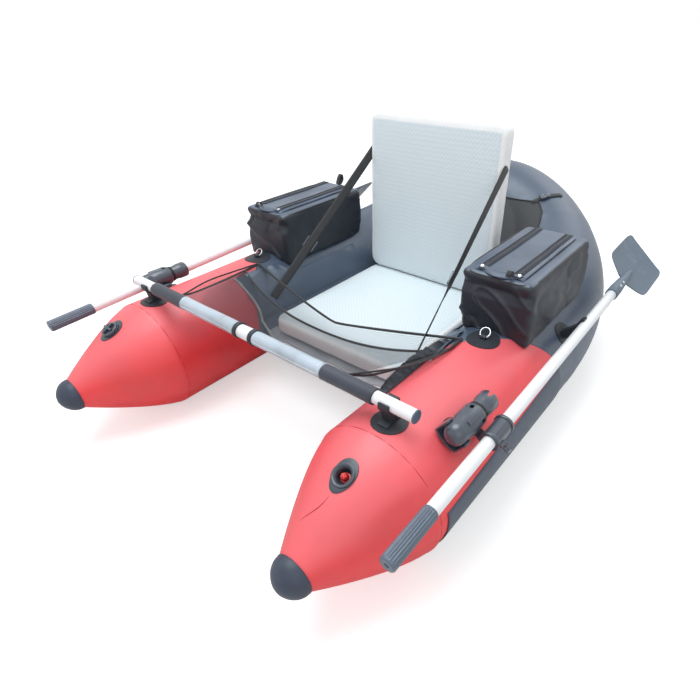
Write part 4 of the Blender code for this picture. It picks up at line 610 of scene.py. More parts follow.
# Making and placing pieces
def settle(name, work, paint, body, nodes=(), slot=None, smooth=True, sharp=None):
    """Turns a bmesh into a finished piece that rides on its body."""
    mesh = bpy.data.meshes.new(name)
    work.to_mesh(mesh)
    work.free()
    made = bpy.data.objects.new(name, mesh)
    bpy.context.scene.collection.objects.link(made)
    mesh.materials.append(finish(paint))
    if smooth:
        mesh.shade_smooth()
    if sharp:
        mesh.set_sharp_from_angle(angle=math.radians(sharp))
    if body:
        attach(made, body)
    if nodes:
        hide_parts(*nodes)
    return made


def faced(work):
    bmesh.ops.recalc_face_normals(work, faces=work.faces)
    return work


def soften(work, offset, segments, edges=None):
    """Rounds off the edges of a mesh."""
    bmesh.ops.bevel(
        work, geom=edges or work.edges, offset=offset, segments=segments, profile=0.5, affect="EDGES", material=-1,
    )
    return work


def block(work, matrix, size):
    """A box of a size, placed by a matrix."""
    return bmesh.ops.create_cube(work, size=1.0, matrix=matrix @ Matrix.Diagonal((*size, 1.0)))["verts"]


def add_modifier(piece, kind, **values):
    made = piece.modifiers.new(kind.title(), kind)
    for key, value in values.items():
        setattr(made, key, value)


def thicken(piece, thickness, offset=0.0):
    add_modifier(piece, "SOLIDIFY", thickness=thickness, offset=offset)


def apply_modifiers(piece):
    """Fixes a piece's modifiers in its mesh."""
    bpy.context.view_layer.update()
    graph = bpy.context.evaluated_depsgraph_get()
    done = bpy.data.meshes.new_from_object(piece.evaluated_get(graph))
    piece.modifiers.clear()
    old = piece.data
    piece.data = done
    bpy.data.meshes.remove(old)
    done.shade_smooth()


class Axes:
    """A local frame of a point and three directions, as in the CAD."""

    def __init__(self, origin, ex, ey, ez):
        self.o = Vector(origin)
        self.x = Vector(ex).normalized()
        self.y = Vector(ey).normalized()
        self.z = Vector(ez).normalized()

    def at(self, x, y, z):
        return self.o + self.x * x + self.y * y + self.z * z

    def toward(self, degrees):
        """The direction at a turn about z."""
        turn = math.radians(degrees)
        return self.x * math.cos(turn) + self.y * math.sin(turn)

    def around(self, point):
        """A point's way out from the z line, its turn about it and its place along it."""
        away = point - self.o
        out = away - self.z * away.dot(self.z)
        return out, math.atan2(out.dot(self.y), out.dot(self.x)), away.dot(self.z)

    def matrix(self, shift=(0, 0, 0)):
        made = Matrix((self.x, self.y, self.z)).transposed().to_4x4()
        made.translation = self.o
        return made @ Matrix.Translation(shift)


def upright_at(z):
    """A direction square enough to z to measure turns from."""
    return Vector((0, 0, 1)) if abs(z.z) < 0.9 else Vector((1, 0, 0))


def oriented(origin, aim, across=None):
    """Axes with z along aim."""
    z = Vector(aim).normalized()
    x = Vector(across) if across else upright_at(z)
    x = (x - z * x.dot(z)).normalized()
    return Axes(origin, x, z.cross(x), z)


def revolve(work, profile, axes, steps=48):
    """Spins a profile of (radius, height) round the axes' z into a closed skin."""
    corners = [work.verts.new(axes.at(radius, 0, height)) for radius, height in profile]
    edges = [work.edges.new(pair) for pair in zip(corners, corners[1:])]
    bmesh.ops.spin(
        work, geom=corners + edges, cent=axes.o, axis=axes.z, angle=2 * math.pi, steps=steps,
        use_merge=True, dvec=(0, 0, 0),
    )
    bmesh.ops.remove_doubles(work, verts=work.verts, dist=0.00001)
    return faced(work)


def ring(profile):
    """A profile that comes back to its start."""
    return profile + profile[:1]


def spun(name, profile, axes, steps, paint, body, nodes=(), slot=None, sharp=40):
    """A piece turned from a profile."""
    return settle(name, revolve(bmesh.new(), profile, axes, steps), paint, body, nodes, slot, sharp=sharp)


def next_loop(work, loop):
    """Extrudes a closed loop of vertices, and gives the new ones in the same order."""
    edges = {e for v in loop for e in v.link_edges if all(p in loop for p in e.verts)}
    made = bmesh.ops.extrude_edge_only(work, edges=list(edges))
    fresh = {g for g in made["geom"] if isinstance(g, bmesh.types.BMVert)}
    return [next(p for p in (e.other_vert(v) for e in v.link_edges) if p in fresh) for v in loop]


def close_ends(work, first, last):
    for end in (first, last):
        bmesh.ops.contextual_create(work, geom=end)
    return faced(work)


def loft(work, matrices, sides, caps=True):
    """Extrudes a unit circle from matrix to matrix, and closes its ends."""
    loop = first = bmesh.ops.create_circle(work, cap_ends=False, radius=1.0, segments=sides)["verts"]
    bmesh.ops.transform(work, matrix=matrices[0], verts=loop)
    for before, after in zip(matrices, matrices[1:]):
        loop = next_loop(work, loop)
        bmesh.ops.transform(work, matrix=after @ before.inverted(), verts=loop)
    return close_ends(work, first, loop) if caps else faced(work)


def path_matrices(path, radius):
    """Matrices of round sections along a path, square to it, without twist."""
    points = [Vector(p) for p in path]
    sizes = radius if isinstance(radius, list) else [radius] * len(points)
    made = []
    side = None
    for before, here, after, size in zip(points[:1] + points, points, points[1:] + points[-1:], sizes):
        ahead = (after - before).normalized()
        side = side or upright_at(ahead)
        side = (side - ahead * side.dot(ahead)).normalized()
        matrix = Matrix((side * size, ahead.cross(side) * size, ahead * size)).transposed().to_4x4()
        matrix.translation = here
        made.append(matrix)
    return made


def cord(name, path, radius, sides, paint, body, slot, caps=True):
    """A round cord along a path."""
    work = loft(bmesh.new(), path_matrices(path, radius), sides, caps)
    return settle(name, work, paint, body, slot=slot)


def piping(name, path, radius, sides=10, caps=True):
    return cord(name, path, radius, sides, "black piping", "hull", "black_fabric", caps)


def smooth_path(points, steps):
    """A curve of even steps through a few points."""
    nodes = [Vector(p) for p in points]
    nodes = [nodes[0] * 2 - nodes[1]] + nodes + [nodes[-1] * 2 - nodes[-2]]
    made = []
    for a, b, c, d in zip(nodes, nodes[1:], nodes[2:], nodes[3:]):
        for k in range(steps):
            t = k / steps
            bend = (2 * a - 5 * b + 4 * c - d) * t * t + (3 * b - a - 3 * c + d) * t**3
            made.append(0.5 * (2 * b + (c - a) * t + bend))
    return made + [nodes[-2]]


def grid_sheet(columns, rows, spot, width, length):
    """A mapped grid: spot gives a point from shares 0 to 1, and the map is in metres."""
    work = bmesh.new()
    bmesh.ops.create_grid(work, x_segments=columns, y_segments=rows, size=0.5, calc_uvs=True)
    layer = work.loops.layers.uv.verify()
    for face in work.faces:
        for loop in face.loops:
            u, v = loop.vert.co.x + 0.5, loop.vert.co.y + 0.5
            loop[layer].uv = (u * width, v * length)
    for vert in work.verts:
        vert.co = spot(vert.co.x + 0.5, vert.co.y + 0.5)
    return work


def ribbon(path, across, width, thickness, steps_across=2):
    """Flat webbing along a path, with across giving the direction of its width at each share."""
    points = [Vector(p) for p in path]
    total = sum((b - a).length for a, b in zip(points, points[1:]))
    last = len(points) - 1

    def spot(u, v):
        i = clamp(round(v * last), 0, last)
        return points[i] + Vector(across(i / last)) * width * (u - 0.5)

    work = faced(grid_sheet(steps_across, last, spot, width, total))
    bmesh.ops.solidify(work, geom=work.faces, thickness=thickness)
    return work


def level_across(share):
    return (1, 0, 0)


def rounded_box(size, corner, cuts):
    """A subdivided box with round edges, centred on the origin."""
    work = bmesh.new()
    bmesh.ops.create_cube(work, size=1.0)
    bmesh.ops.subdivide_edges(work, edges=work.edges, cuts=cuts, use_grid_fill=True)
    half = Vector(size) / 2
    for vert in work.verts:
        full = Vector([vert.co[k] * 2 * half[k] for k in range(3)])
        inner = Vector([clamp(full[k], corner - half[k], half[k] - corner) for k in range(3)])
        away = full - inner
        vert.co = inner + away.normalized() * corner if away.length > 1e-9 else inner
    return work


def keep_node(node, paint, bevel=0.0006):
    """Gives a CAD node its finish, and softens its edges."""
    piece = frame["nodes"][node]
    piece.data.materials.clear()
    piece.data.materials.append(finish(paint))
    add_modifier(piece, "WELD", merge_threshold=0.00005)
    if bevel:
        add_modifier(
            piece, "BEVEL", width=bevel, segments=2, limit_method="ANGLE", angle_limit=math.radians(32.0),
            harden_normals=True, use_clamp_overlap=True,
        )
    else:
        add_modifier(piece, "SUBSURF", levels=2, render_levels=2)


# Hull shapes
def tube_reach(y):
    """Radius of a pontoon at a place along it."""
    if y >= TAPER_Y:
        return TUBE_RADIUS
    share = (TAPER_Y - y) / (TAPER_Y - SEAM_Y)
    return TUBE_RADIUS - (TUBE_RADIUS - SEAM_RADIUS) * share**NOSE_SHOULDER


def on_tube(side, y, angle, lift=0.0):
    """Point of a pontoon's skin, at degrees up from its outer side."""
    reach = tube_reach(y) + lift
    turn = math.radians(angle)
    x = TUBE_X + reach * math.cos(turn)
    return Vector((side * x, y, TUBE_RADIUS + reach * math.sin(turn)))


def bend_point(share):
    """Point of the stern tube's middle line, from its right bend to the stern."""
    rest = 1 - share
    x = TUBE_X * (rest**3 + 3 * share * rest**2) + STERN_HANDLE * 3 * share**2 * rest
    y = BEND_Y * rest**3 + (BEND_Y + SIDE_HANDLE) * 3 * share * rest**2
    y += STERN_Y * (3 * share**2 * rest + share**3)
    return Vector((x, y, TUBE_RADIUS + STERN_RISE * (1 - rest**2) ** STERN_RISE_POWER))


HULL_LINE = [Vector((TUBE_X, NOSE_Y + 0.008 * i, TUBE_RADIUS)) for i in range(114)]
HULL_LINE += [bend_point(i / 160) for i in range(161)]
LINE_ARRAY = np.array([tuple(p) for p in HULL_LINE])
LINE_REACH = np.array([tube_reach(p.y) for p in HULL_LINE])


def on_surface(point, gap, upright=False):
    """The point itself, or its place a gap above the hull if it lies deeper: straight out or straight up."""
    here = np.array((abs(point.x), point.y, point.z))
    away = np.linalg.norm(LINE_ARRAY - here, axis=1) - LINE_REACH
    k = int(away.argmin())
    if away[k] >= gap:
        return point
    middle = LINE_ARRAY[k]
    reach = LINE_REACH[k] + gap
    if upright:
        flat = np.linalg.norm((here - middle)[:2])
        return Vector((point.x, point.y, middle[2] + math.sqrt(max(0.0, reach * reach - flat * flat))))
    moved = middle + (here - middle) / max(1e-6, np.linalg.norm(here - middle)) * reach
    return Vector((math.copysign(moved[0], point.x), moved[1], moved[2]))


def clear_of_hull(work, gap, upright=False):
    """Moves the vertices that lie in the hull out to its surface."""
    for vert in work.verts:
        vert.co = on_surface(vert.co, gap, upright)
    return faced(work)


def sheared_ring(side, y, slope, reach):
    """Matrix of a hull section across a pontoon, slanted like the mitre by slope."""
    made = Matrix.Identity(4)
    made.col[0][:3] = (side * reach, slope * reach, 0)
    made.col[1][:3] = (0, 0, reach)
    made.col[2][:3] = (0, reach, 0)
    made.col[3][:3] = (side * TUBE_X, y, TUBE_RADIUS)
    return made


def gathers(work, side, strength, seam_y, fall):
    """Small puckers of a pontoon that fade away from a seam."""
    for vert in work.verts:
        out = vert.co - Vector((side * TUBE_X, vert.co.y, TUBE_RADIUS))
        if out.length < 0.02:
            continue
        turn = math.atan2(out.z, out.x)
        away = abs(vert.co.y - seam_y) / fall
        push = strength * math.exp(-away * away) * math.sin(turn * 23 + math.sin(turn * 5) * 2)
        push += strength * 0.25 * noise.noise(vert.co * 14.0)
        vert.co += out.normalized() * push
    return work


def make_pontoon(name, side):
    """Red front tube with a welded shoulder seam and small gathers beside it."""
    hull = settings("hull")
    matrices = []
    for i in range(41):
        share = i / 40
        y = MITRE_Y + (TAPER_Y - MITRE_Y) * share
        matrices.append(sheared_ring(side, y, MITRE_SLOPE * max(0.0, 1 - share * 1.25), TUBE_RADIUS))
    for i in range(1, 45):
        y = TAPER_Y + (SEAM_Y - TAPER_Y) * i / 44
        lift = hull.tape_lift if y > TAPER_Y - hull.tape_width else 0.0
        matrices.append(sheared_ring(side, y, 0.0, tube_reach(y) + lift))
    work = gathers(loft(bmesh.new(), matrices, 96), side, hull.pucker * 0.35, TAPER_Y, 0.03)
    skin = settle(name + "_pontoon_skin", work, "red hull cloth", "hull", (name + "_pontoon",), "red_pvc")
    hole = [(0.0, -0.026), (0.0208, -0.026), (0.0208, 0.012), (0.0, 0.012)]
    cut_out(skin, name + "_valve_hole", revolve(bmesh.new(), hole, valve_axes(side)))
    path = [on_tube(side, TAPER_Y, i * 3.0, -0.0002) for i in range(121)]
    cord(name + "_shoulder_seam", path, 0.0006, 6, "dark crease", "hull", "red_pvc", caps=False)


def cut_out(piece, name, work):
    """Cuts a tool out of a piece for good."""
    tool = settle(name, work, piece.data.materials[0].name, None, smooth=False)
    add_modifier(piece, "BOOLEAN", operation="DIFFERENCE", solver="EXACT", object=tool)
    apply_modifiers(piece)
    piece.data.set_sharp_from_angle(angle=math.radians(35.0))
    bpy.data.objects.remove(tool)


def tube_frames(count):
    """Centre, forward, outward and upward directions round the stern, from right mitre to left."""
    points = [Vector((TUBE_X, MITRE_Y + (BEND_Y - MITRE_Y) * i / 24, TUBE_RADIUS)) for i in range(24)]
    points += [bend_point(i / count) for i in range(count + 1)]
    points += [Vector((-p.x, p.y, p.z)) for p in points[-2::-1]]
    made = []
    for before, here, after in zip(points[:1] + points, points, points[1:] + points[-1:]):
        ahead = (after - before).normalized()
        out = ahead.cross(Vector((0, 0, 1))).normalized()
        made.append((here, ahead, out, out.cross(ahead).normalized()))
    return made


def make_stern_tube():
    """Dark stern tube: one swept bend with panel seams and soft gathers on its inner side."""
    hull = settings("hull")
    frames = tube_frames(64)
    work = bmesh.new()
    loop = first = bmesh.ops.create_circle(work, cap_ends=False, radius=1.0, segments=96)["verts"]
    flat = [v.co.copy() for v in loop]
    for i, (here, ahead, out, up) in enumerate(frames):
        if i:
            loop = next_loop(work, loop)
        from_end = min(i, len(frames) - 1 - i)
        if from_end < MITRE_RINGS:
            slope = MITRE_SLOPE * max(0.0, 1 - from_end / (MITRE_RINGS - 2))
            lift = hull.tape_lift if from_end < 2 else 0.0
            matrix = sheared_ring(math.copysign(1, here.x), here.y, slope, TUBE_RADIUS + lift)
        else:
            reach = TUBE_RADIUS + (hull.tape_lift if any(i - seam in (0, 1) for seam in STERN_SEAMS) else 0.0)
            matrix = Matrix((out * reach, up * reach, ahead * reach)).transposed().to_4x4()
            matrix.translation = here
        fold = hull.pucker * (0.5 + 0.5 * math.sin(i * 0.55 * 2.3)) * 0.8
        for vert, unit in zip(loop, flat):
            vert.co = matrix @ Vector((unit.x, unit.y, 0))
            vert.co -= (vert.co - here).normalized() * max(0.0, -unit.x) ** 2 * fold
    close_ends(work, first, loop)
    settle("stern_tube_skin", work, "dark hull cloth", "hull", ("rear_tube",), "dark_pvc")


def make_nose(name, side):
    """Black moulded nose cone with a thin glued rim."""
    rim, start, length = SEAM_RADIUS + 0.0012, 0.003, SEAM_Y - NOSE_Y
    profile = [(0.0, 0.0), (rim, 0.0), (rim + 0.0006, 0.0015), (rim + 0.0002, start)]
    for i in range(1, 15):
        share = i / 14
        profile.append((rim * (1 - share**2.1) ** 0.62, start + (length - start) * share))
    axes = Axes((side * TUBE_X, SEAM_Y - 0.0003, TUBE_RADIUS), (1, 0, 0), (0, 0, 1), (0, -1, 0))
    spun(name + "_nose_cone", profile, axes, 72, "grey rubber", "hull", (name + "_nose_cap",), "black_rubber")


def make_rub_band(name, side):
    """Wear strip welded low on the outer side, with rolled edges."""
    front = NOSE_Y + 0.287

    def spot(u, v):
        top = 9.0 + 11.0 * v
        angle = top + (-78.0 - top) * u
        rear = MITRE_Y + MITRE_SLOPE * TUBE_RADIUS * math.cos(math.radians(angle)) - 0.001
        lift = 0.0006 + 0.0019 * min(1.0, min(u, 1 - u) * 60) ** 0.5
        return on_tube(side, front + (rear - front) * v, angle, lift)

    work = faced(grid_sheet(40, 60, spot, 0.26, 0.5))
    made = settle(name + "_wear_strip", work, "wear strip", "hull", (name + "_rub_band",), "dark_pvc")
    thicken(made, 0.0012, -1.0)


def make_crease():
    """Short crease in the nose cloth ahead of the open valve, drawn as a deep red cord of painted shade."""
    path, size = [], []
    for i in range(13):
        share = i / 12
        bow = math.sin(math.pi * share)
        path.append(on_tube(1, -0.700 - 0.052 * share, 91 + 22 * share - 6 * bow, -0.0003))
        size.append(0.0003 + 0.0007 * bow)
    cord("right_nose_crease", path, size, 8, "dark crease", "hull", None)


# Valves
def wrapped_disc(side, y, angle, profile, steps=56):
    """A flat disc's profile of (radius, lift) laid on a pontoon."""
    work = revolve(bmesh.new(), profile, Axes((0, 0, 0), (1, 0, 0), (0, 1, 0), (0, 0, 1)), steps)
    for vert in work.verts:
        vert.co = on_tube(side, y + vert.co.y, angle + math.degrees(vert.co.x / TUBE_RADIUS), vert.co.z)
    return faced(work)


def valve_axes(side):
    here = on_tube(side, VALVE_Y, 90)
    ahead = (on_tube(side, VALVE_Y - 0.0205, 90) - here).normalized()
    out = Vector((1, 0, 0)).cross(ahead).normalized()
    return Axes(here, (side, 0, 0), ahead, out if out.z > 0 else -out)


def make_valve(name, side):
    """Valve: thin glued flange, flared grey lip and a ribbed well with its screw thread."""
    flange = [(0.019, 0.0004), (0.0305, 0.0004), (0.0308, 0.0012), (0.0300, 0.0024), (0.0262, 0.0027)]
    flange += [(0.019, 0.0025)]
    work = wrapped_disc(side, VALVE_Y, 90, ring(flange))
    plate = settle(name + "_valve_flange", work, "valve rubber", "hull", slot="black_rubber", sharp=45)
    lip = [
        (0.0205, -0.022), (0.0205, 0.002), (0.0220, 0.0030), (0.0230, 0.0034), (0.0231, 0.0040), (0.0224, 0.0044),
        (0.0200, 0.0042), (0.0178, 0.0034), (0.0168, 0.0026), (0.0164, 0.0016),
    ]
    for i in range(6):
        lip += [(0.0158, 0.0010 - 0.0024 * i), (0.0150, 0.0001 - 0.0024 * i), (0.0158, -0.0008 - 0.0024 * i)]
    lip += [(0.0158, -0.0190), (0.0, -0.0190), (0.0, -0.022), (0.0205, -0.022)]
    valve = name + "_valve"
    spun(name + "_valve_body", lip, valve_axes(side), 64, "valve rubber", "hull", (valve,), "black_rubber", 50)
    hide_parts(valve)


def crossed(axes, level, turn):
    """Matrix of a bar laid across the axes at a level and a turn."""
    aim = axes.toward(turn)
    return Axes(axes.at(0, 0, level), aim, axes.z.cross(aim), axes.z).matrix()


def make_poppet():
    """Red spring poppet with a cross web, seen down the open valve."""
    axes = valve_axes(1)
    profile = [(0.0, -0.0132), (0.0098, -0.0132), (0.0098, -0.0116), (0.0074, -0.0112), (0.0068, -0.004)]
    profile += [(0.0063, -0.0014), (0.0052, -0.0002), (0.0, 0.0)]
    spun("red_poppet", profile, axes, 40, "red plastic", "poppet", ("right_valve_poppet",), "red_plastic")
    work = bmesh.new()
    for turn in (20.0, 110.0):
        block(work, crossed(axes, 0.0007, turn), (0.0104, 0.0020, 0.0022))
    soften(work, 0.0004, 2)
    settle("red_poppet_web", work, "red plastic", "poppet", slot="red_plastic", sharp=40)


def make_valve_cap():
    """Screwed cap of the closed valve with its cross grip and knurled rim."""
    axes = valve_axes(-1)
    base = 0.0050
    profile = [(0.0, -0.008), (0.0148, -0.008), (0.0148, 0.0), (0.0215, 0.0), (0.0218, 0.0018), (0.0214, 0.0040)]
    profile += [(0.0202, 0.0050), (0.0168, 0.0050), (0.0158, 0.0036), (0.0, 0.0034)]
    work = revolve(bmesh.new(), [(radius, base + height) for radius, height in profile], axes, 96)
    for vert in work.verts:
        out, turn, _ = axes.around(vert.co)
        if out.length > 0.0205:
            vert.co += out.normalized() * 0.0004 * math.sin(turn * 24)
    for turn in (0.0, 90.0):
        bar = block(work, crossed(axes, base + 0.0072, turn), (0.0335, 0.0056, 0.0076))
        soften(work, 0.0014, 3, list({e for v in bar for e in v.link_edges}))
    settle("closed_valve_cap", work, "black plastic", "cap", ("left_valve_cap",), "black_rubber", sharp=40)


# Crossbar
def make_bar_side(name, side, axes, half):
    """Plug, foam, cloth sleeve with its seam, and stop ring on one half of the bar."""

    def part(label, profile, steps, paint, nodes, slot, sharp=40):
        placed = [(radius, side * height) for radius, height in profile]
        return spun(name + label, placed, axes, steps, paint, "hull", nodes, slot, sharp)

    edge = BAR_RADIUS + 0.0006
    plug_rim = BAR_RADIUS + 0.0001
    plug = [(0.0, half - 0.0005), (BAR_RADIUS - 0.0030, half - 0.0005), (BAR_RADIUS - 0.0024, half + 0.0010)]
    plug += [(BAR_RADIUS - 0.0004, half + 0.0010), (edge, half), (edge, half - 0.002)]
    plug += [(plug_rim, half - 0.0024), (plug_rim, half + 0.0002), (0.0, half + 0.0002 - 0.003)]
    part("_bar_plug", plug, 48, "blade plastic", (), "black_rubber")
    foam = [(BAR_SKIN, 0.2475), (0.0166, 0.2475), (0.0173, 0.2483), (0.0175, 0.251)]
    foam += [(0.0175 - 0.0004 * math.sin(math.pi * i / 20) ** 2, 0.252 + 0.129 * i / 20) for i in range(21)]
    foam += [(0.0172, 0.3826), (0.0164, 0.383), (BAR_SKIN, 0.383)]
    part("_foam_cover", ring(foam), 48, "foam cover", (name + "_bar_foam",), "foam", 50)
    sleeve = [(BAR_SKIN, 0.0335), (0.0166, 0.0335), (0.0170, 0.0345)]
    sleeve += [(0.0170 + 0.0002 * math.sin(i * 1.7), 0.0345 + 0.2095 * i / 60) for i in range(61)]
    sleeve += [(0.0178, 0.2445), (0.0180, 0.2463), (0.0172, 0.2470), (BAR_SKIN, 0.2470)]
    work = revolve(bmesh.new(), [(radius, side * height) for radius, height in ring(sleeve)], axes, 64)
    for vert in work.verts:
        out, turn, along = axes.around(vert.co)
        if out.length > 0.0165:
            ripple = noise.noise(Vector((along * 18, math.cos(turn) * 2, math.sin(turn) * 2)))
            vert.co += out.normalized() * 0.0007 * ripple
    cover = (name + "_bar_sleeve",)
    settle(name + "_sleeve_cover", work, "bar sleeve cloth", "hull", cover, "silver_sleeve", sharp=60)
    seam = [axes.at(-0.0172, 0.0015, side * (0.036 + 0.205 * i / 20)) for i in range(21)]
    cord(name + "_sleeve_seam", seam, 0.0011, 8, "silver piping", "hull", "silver_sleeve")
    stop = [(BAR_SKIN, 0.0219), (0.0186, 0.0219), (0.0192, 0.0227), (0.0192, 0.0319), (0.0186, 0.0327)]
    stop += [(BAR_SKIN, 0.0327)]
    part("_stop_ring", ring(stop), 48, "black rubber", (name + "_bar_ring",), "black_plastic")


def make_crossbar():
    """White bar with deep grey plugs, cloth sleeves, foam, stop rings and centre band."""
    axes = Axes((0, BAR_Y, BAR_Z), (0, 1, 0), (0, 0, 1), (1, 0, 0))
    half = 0.479
    inner = BAR_RADIUS - 0.0018
    tube = [(0.0, -half + 0.02), (inner, -half + 0.02), (inner, -half + 0.0004), (BAR_RADIUS - 0.0005, -half)]
    tube += [(BAR_RADIUS, -half + 0.0006)]
    tube += [(r, -h) for r, h in reversed(tube)]
    spun("crossbar_skin", tube, axes, 56, "white bar paint", "hull", ("crossbar_tube",), "white_metal", 35)
    for name, side in SIDES:
        make_bar_side(name, side, axes, half)
    band = [(BAR_SKIN, -0.0214), (0.0158, -0.0214), (0.0162, -0.0208), (0.0162, 0.0208), (0.0158, 0.0214)]
    band += [(BAR_SKIN, 0.0214)]
    spun("centre_band", ring(band), axes, 48, "white bar paint", "hull", ("bar_centre_band",), "white_metal")


# Oars and rod holders
def clamp_down(side):
    return Vector((side * 0.7882, 0.0218, -0.61504))


def oar_axes(side):
    """Frame of an oar at its clamp, as in the CAD: z aft along the shaft."""
    aft = Vector((0.0, 0.99937, 0.03542)).normalized()
    out = Vector((side * 0.61542, -0.02792, 0.7877))
    return Axes((side * 0.58298, -0.4135, 0.28391), clamp_down(side), out, aft)


def make_grip(name, axes):
    """Fluted hand grip with a recessed end."""
    start, end = -0.221, -0.338
    shoulder = start - 0.0012
    profile = [(0.0138, start), (0.0150, start), (0.0156, shoulder)]
    profile += [(0.0156, shoulder + (end - start + 0.0048) * i / 40) for i in range(1, 41)]
    profile += [(0.0150, end + 0.0020), (0.0138, end + 0.0004), (0.0100, end), (0.0050, end + 0.0002)]
    profile += [(0.0042, end + 0.0022), (0.0, end + 0.0024), (0.0, end + 0.005), (0.0138, end + 0.0055)]
    flutes = settings("oars").flutes
    work = revolve(bmesh.new(), ring(profile), axes, flutes * 8)
    for vert in work.verts:
        out, turn, along = axes.around(vert.co)
        if out.length > 0.0149 and end + 0.004 < along < start - 0.004:
            vert.co -= out.normalized() * 0.0014 * (0.5 + 0.5 * math.cos(turn * flutes)) ** 2
    grip = (name + "_oar_grip",)
    settle(name + "_hand_grip", work, "grip rubber", name + "_oar", grip, "black_rubber", sharp=50)


BLADE_SHARES = (
    (0.0, 0.26), (0.03, 0.40), (0.08, 0.64), (0.14, 0.86), (0.2, 0.965), (0.26, 0.995), (0.4, 1.0),
    (0.8, 1.0), (0.9, 0.99), (0.95, 0.965), (0.98, 0.92), (1.0, 0.84),
)


def make_blade(name, side, axes):
    """Blade with its spine, rivets and thin rim."""
    body = name + "_oar"
    roll = math.radians(42.0)
    flat = Vector((side * math.cos(roll), 0, -math.sin(roll)))
    flat = (flat - axes.z * flat.dot(axes.z)).normalized()
    face = flat.cross(axes.z).normalized()
    blade = Axes(axes.at(0, 0, 0.651), axes.z, flat, face if face.z > 0 else -face)
    half, length, begin = 0.079, 0.212, 0.089

    def spot(u, v):
        w = u * 2 - 1
        wide = float(np.interp(v, *zip(*BLADE_SHARES)))
        bend = 0.005 * math.sin(math.pi * v) * (1 - w * w)
        rim = 0.0012 * max(0.0, abs(w) - 0.86) / 0.14
        rib = 0.0016 * math.exp(-((w * half / 0.009) ** 2)) * (1 - v) ** 0.5
        return blade.at(begin + length * v, half * wide * w, -bend + rim + rib)

    work = faced(grid_sheet(36, 48, spot, 0.158, length))
    sheet = settle(name + "_blade_skin", work, "blade plastic", body, (name + "_oar_blade",), "blade_plastic")
    thicken(sheet, 0.0038)
    add_modifier(sheet, "BEVEL", width=0.0009, segments=3, limit_method="ANGLE", angle_limit=math.radians(50))
    spine = [(0.0136, -0.012), (0.0164, -0.012), (0.0168, -0.0112), (0.0168, 0.030), (0.0160, 0.040)]
    spine += [(0.0142, 0.070), (0.0112, 0.105), (0.0080, 0.140), (0.0050, 0.158), (0.0, 0.164), (0.0, 0.012)]
    spine += [(0.0136, 0.012)]
    along = Axes(blade.o, blade.y, blade.z, blade.x)
    spun(name + "_blade_spine", ring(spine), along, 48, "blade plastic", body, slot="blade_plastic")
    work = bmesh.new()
    rivet = [(0.0, -0.002), (0.0036, -0.002), (0.0036, 0.0004), (0.0026, 0.0013), (0.0, 0.0016)]
    for place, level in ((0.030, 0.0165), (0.056, 0.0150)):
        revolve(work, rivet, oriented(blade.at(place, 0, level), blade.z), 20)
    settle(name + "_blade_rivets", work, "bright steel", body, slot="steel", sharp=40)


def make_oar(name, side):
    """Shaft with its collar, grip and blade."""
    axes = oar_axes(side)
    body = name + "_oar"
    front, rear = -0.3327, 0.663
    shaft = [(0.0, front), (0.0133, front), (0.0135, front + 0.0004)]
    shaft += [(0.0135, rear - 0.0004), (0.0133, rear), (0.0, rear)]
    spun(name + "_shaft_skin", shaft, axes, 48, "white paint", body, (name + "_oar_shaft",), "white_metal", 35)
    collar = [(0.0136, 0.640), (0.0158, 0.640), (0.0166, 0.6405), (0.0166, 0.6515), (0.0136, 0.6515)]
    spun(name + "_blade_collar", ring(collar), axes, 48, "black rubber", body, slot="black_rubber")
    make_grip(name, axes)
    make_blade(name, side, axes)


def make_clamp_trim(name, side):
    """Raised end collars of the oar clamp and the steel bolt head in its knob."""
    axes = oar_axes(side)
    work = bmesh.new()
    for start, end in ((-0.0313, -0.0245), (0.0245, 0.0313)):
        collar = [(0.0186, start), (0.0205, start), (0.0210, start + 0.0006)]
        collar += [(0.0210, end - 0.0006), (0.0205, end), (0.0186, end)]
        revolve(work, ring(collar), axes, 48)
    settle(name + "_clamp_collars", work, "black plastic", name + "_mount", slot="black_plastic", sharp=40)
    down = clamp_down(side)
    seat = oriented(Vector((side * 0.6061, -0.42517, 0.27444)) + down * 0.0140, down)
    head = [(0.0, -0.001), (0.0046, -0.001), (0.0046, 0.0010), (0.0036, 0.0018), (0.0, 0.0020)]
    spun(name + "_knob_bolt", head, seat, 24, "bright steel", name + "_knob", slot="steel")


def beside(axes, out, along, reach):
    """Axes of a detail on a round wall, with its own x outward."""
    return Axes(axes.at(0, 0, along) + out * reach, out, axes.z.cross(out), axes.z).matrix()


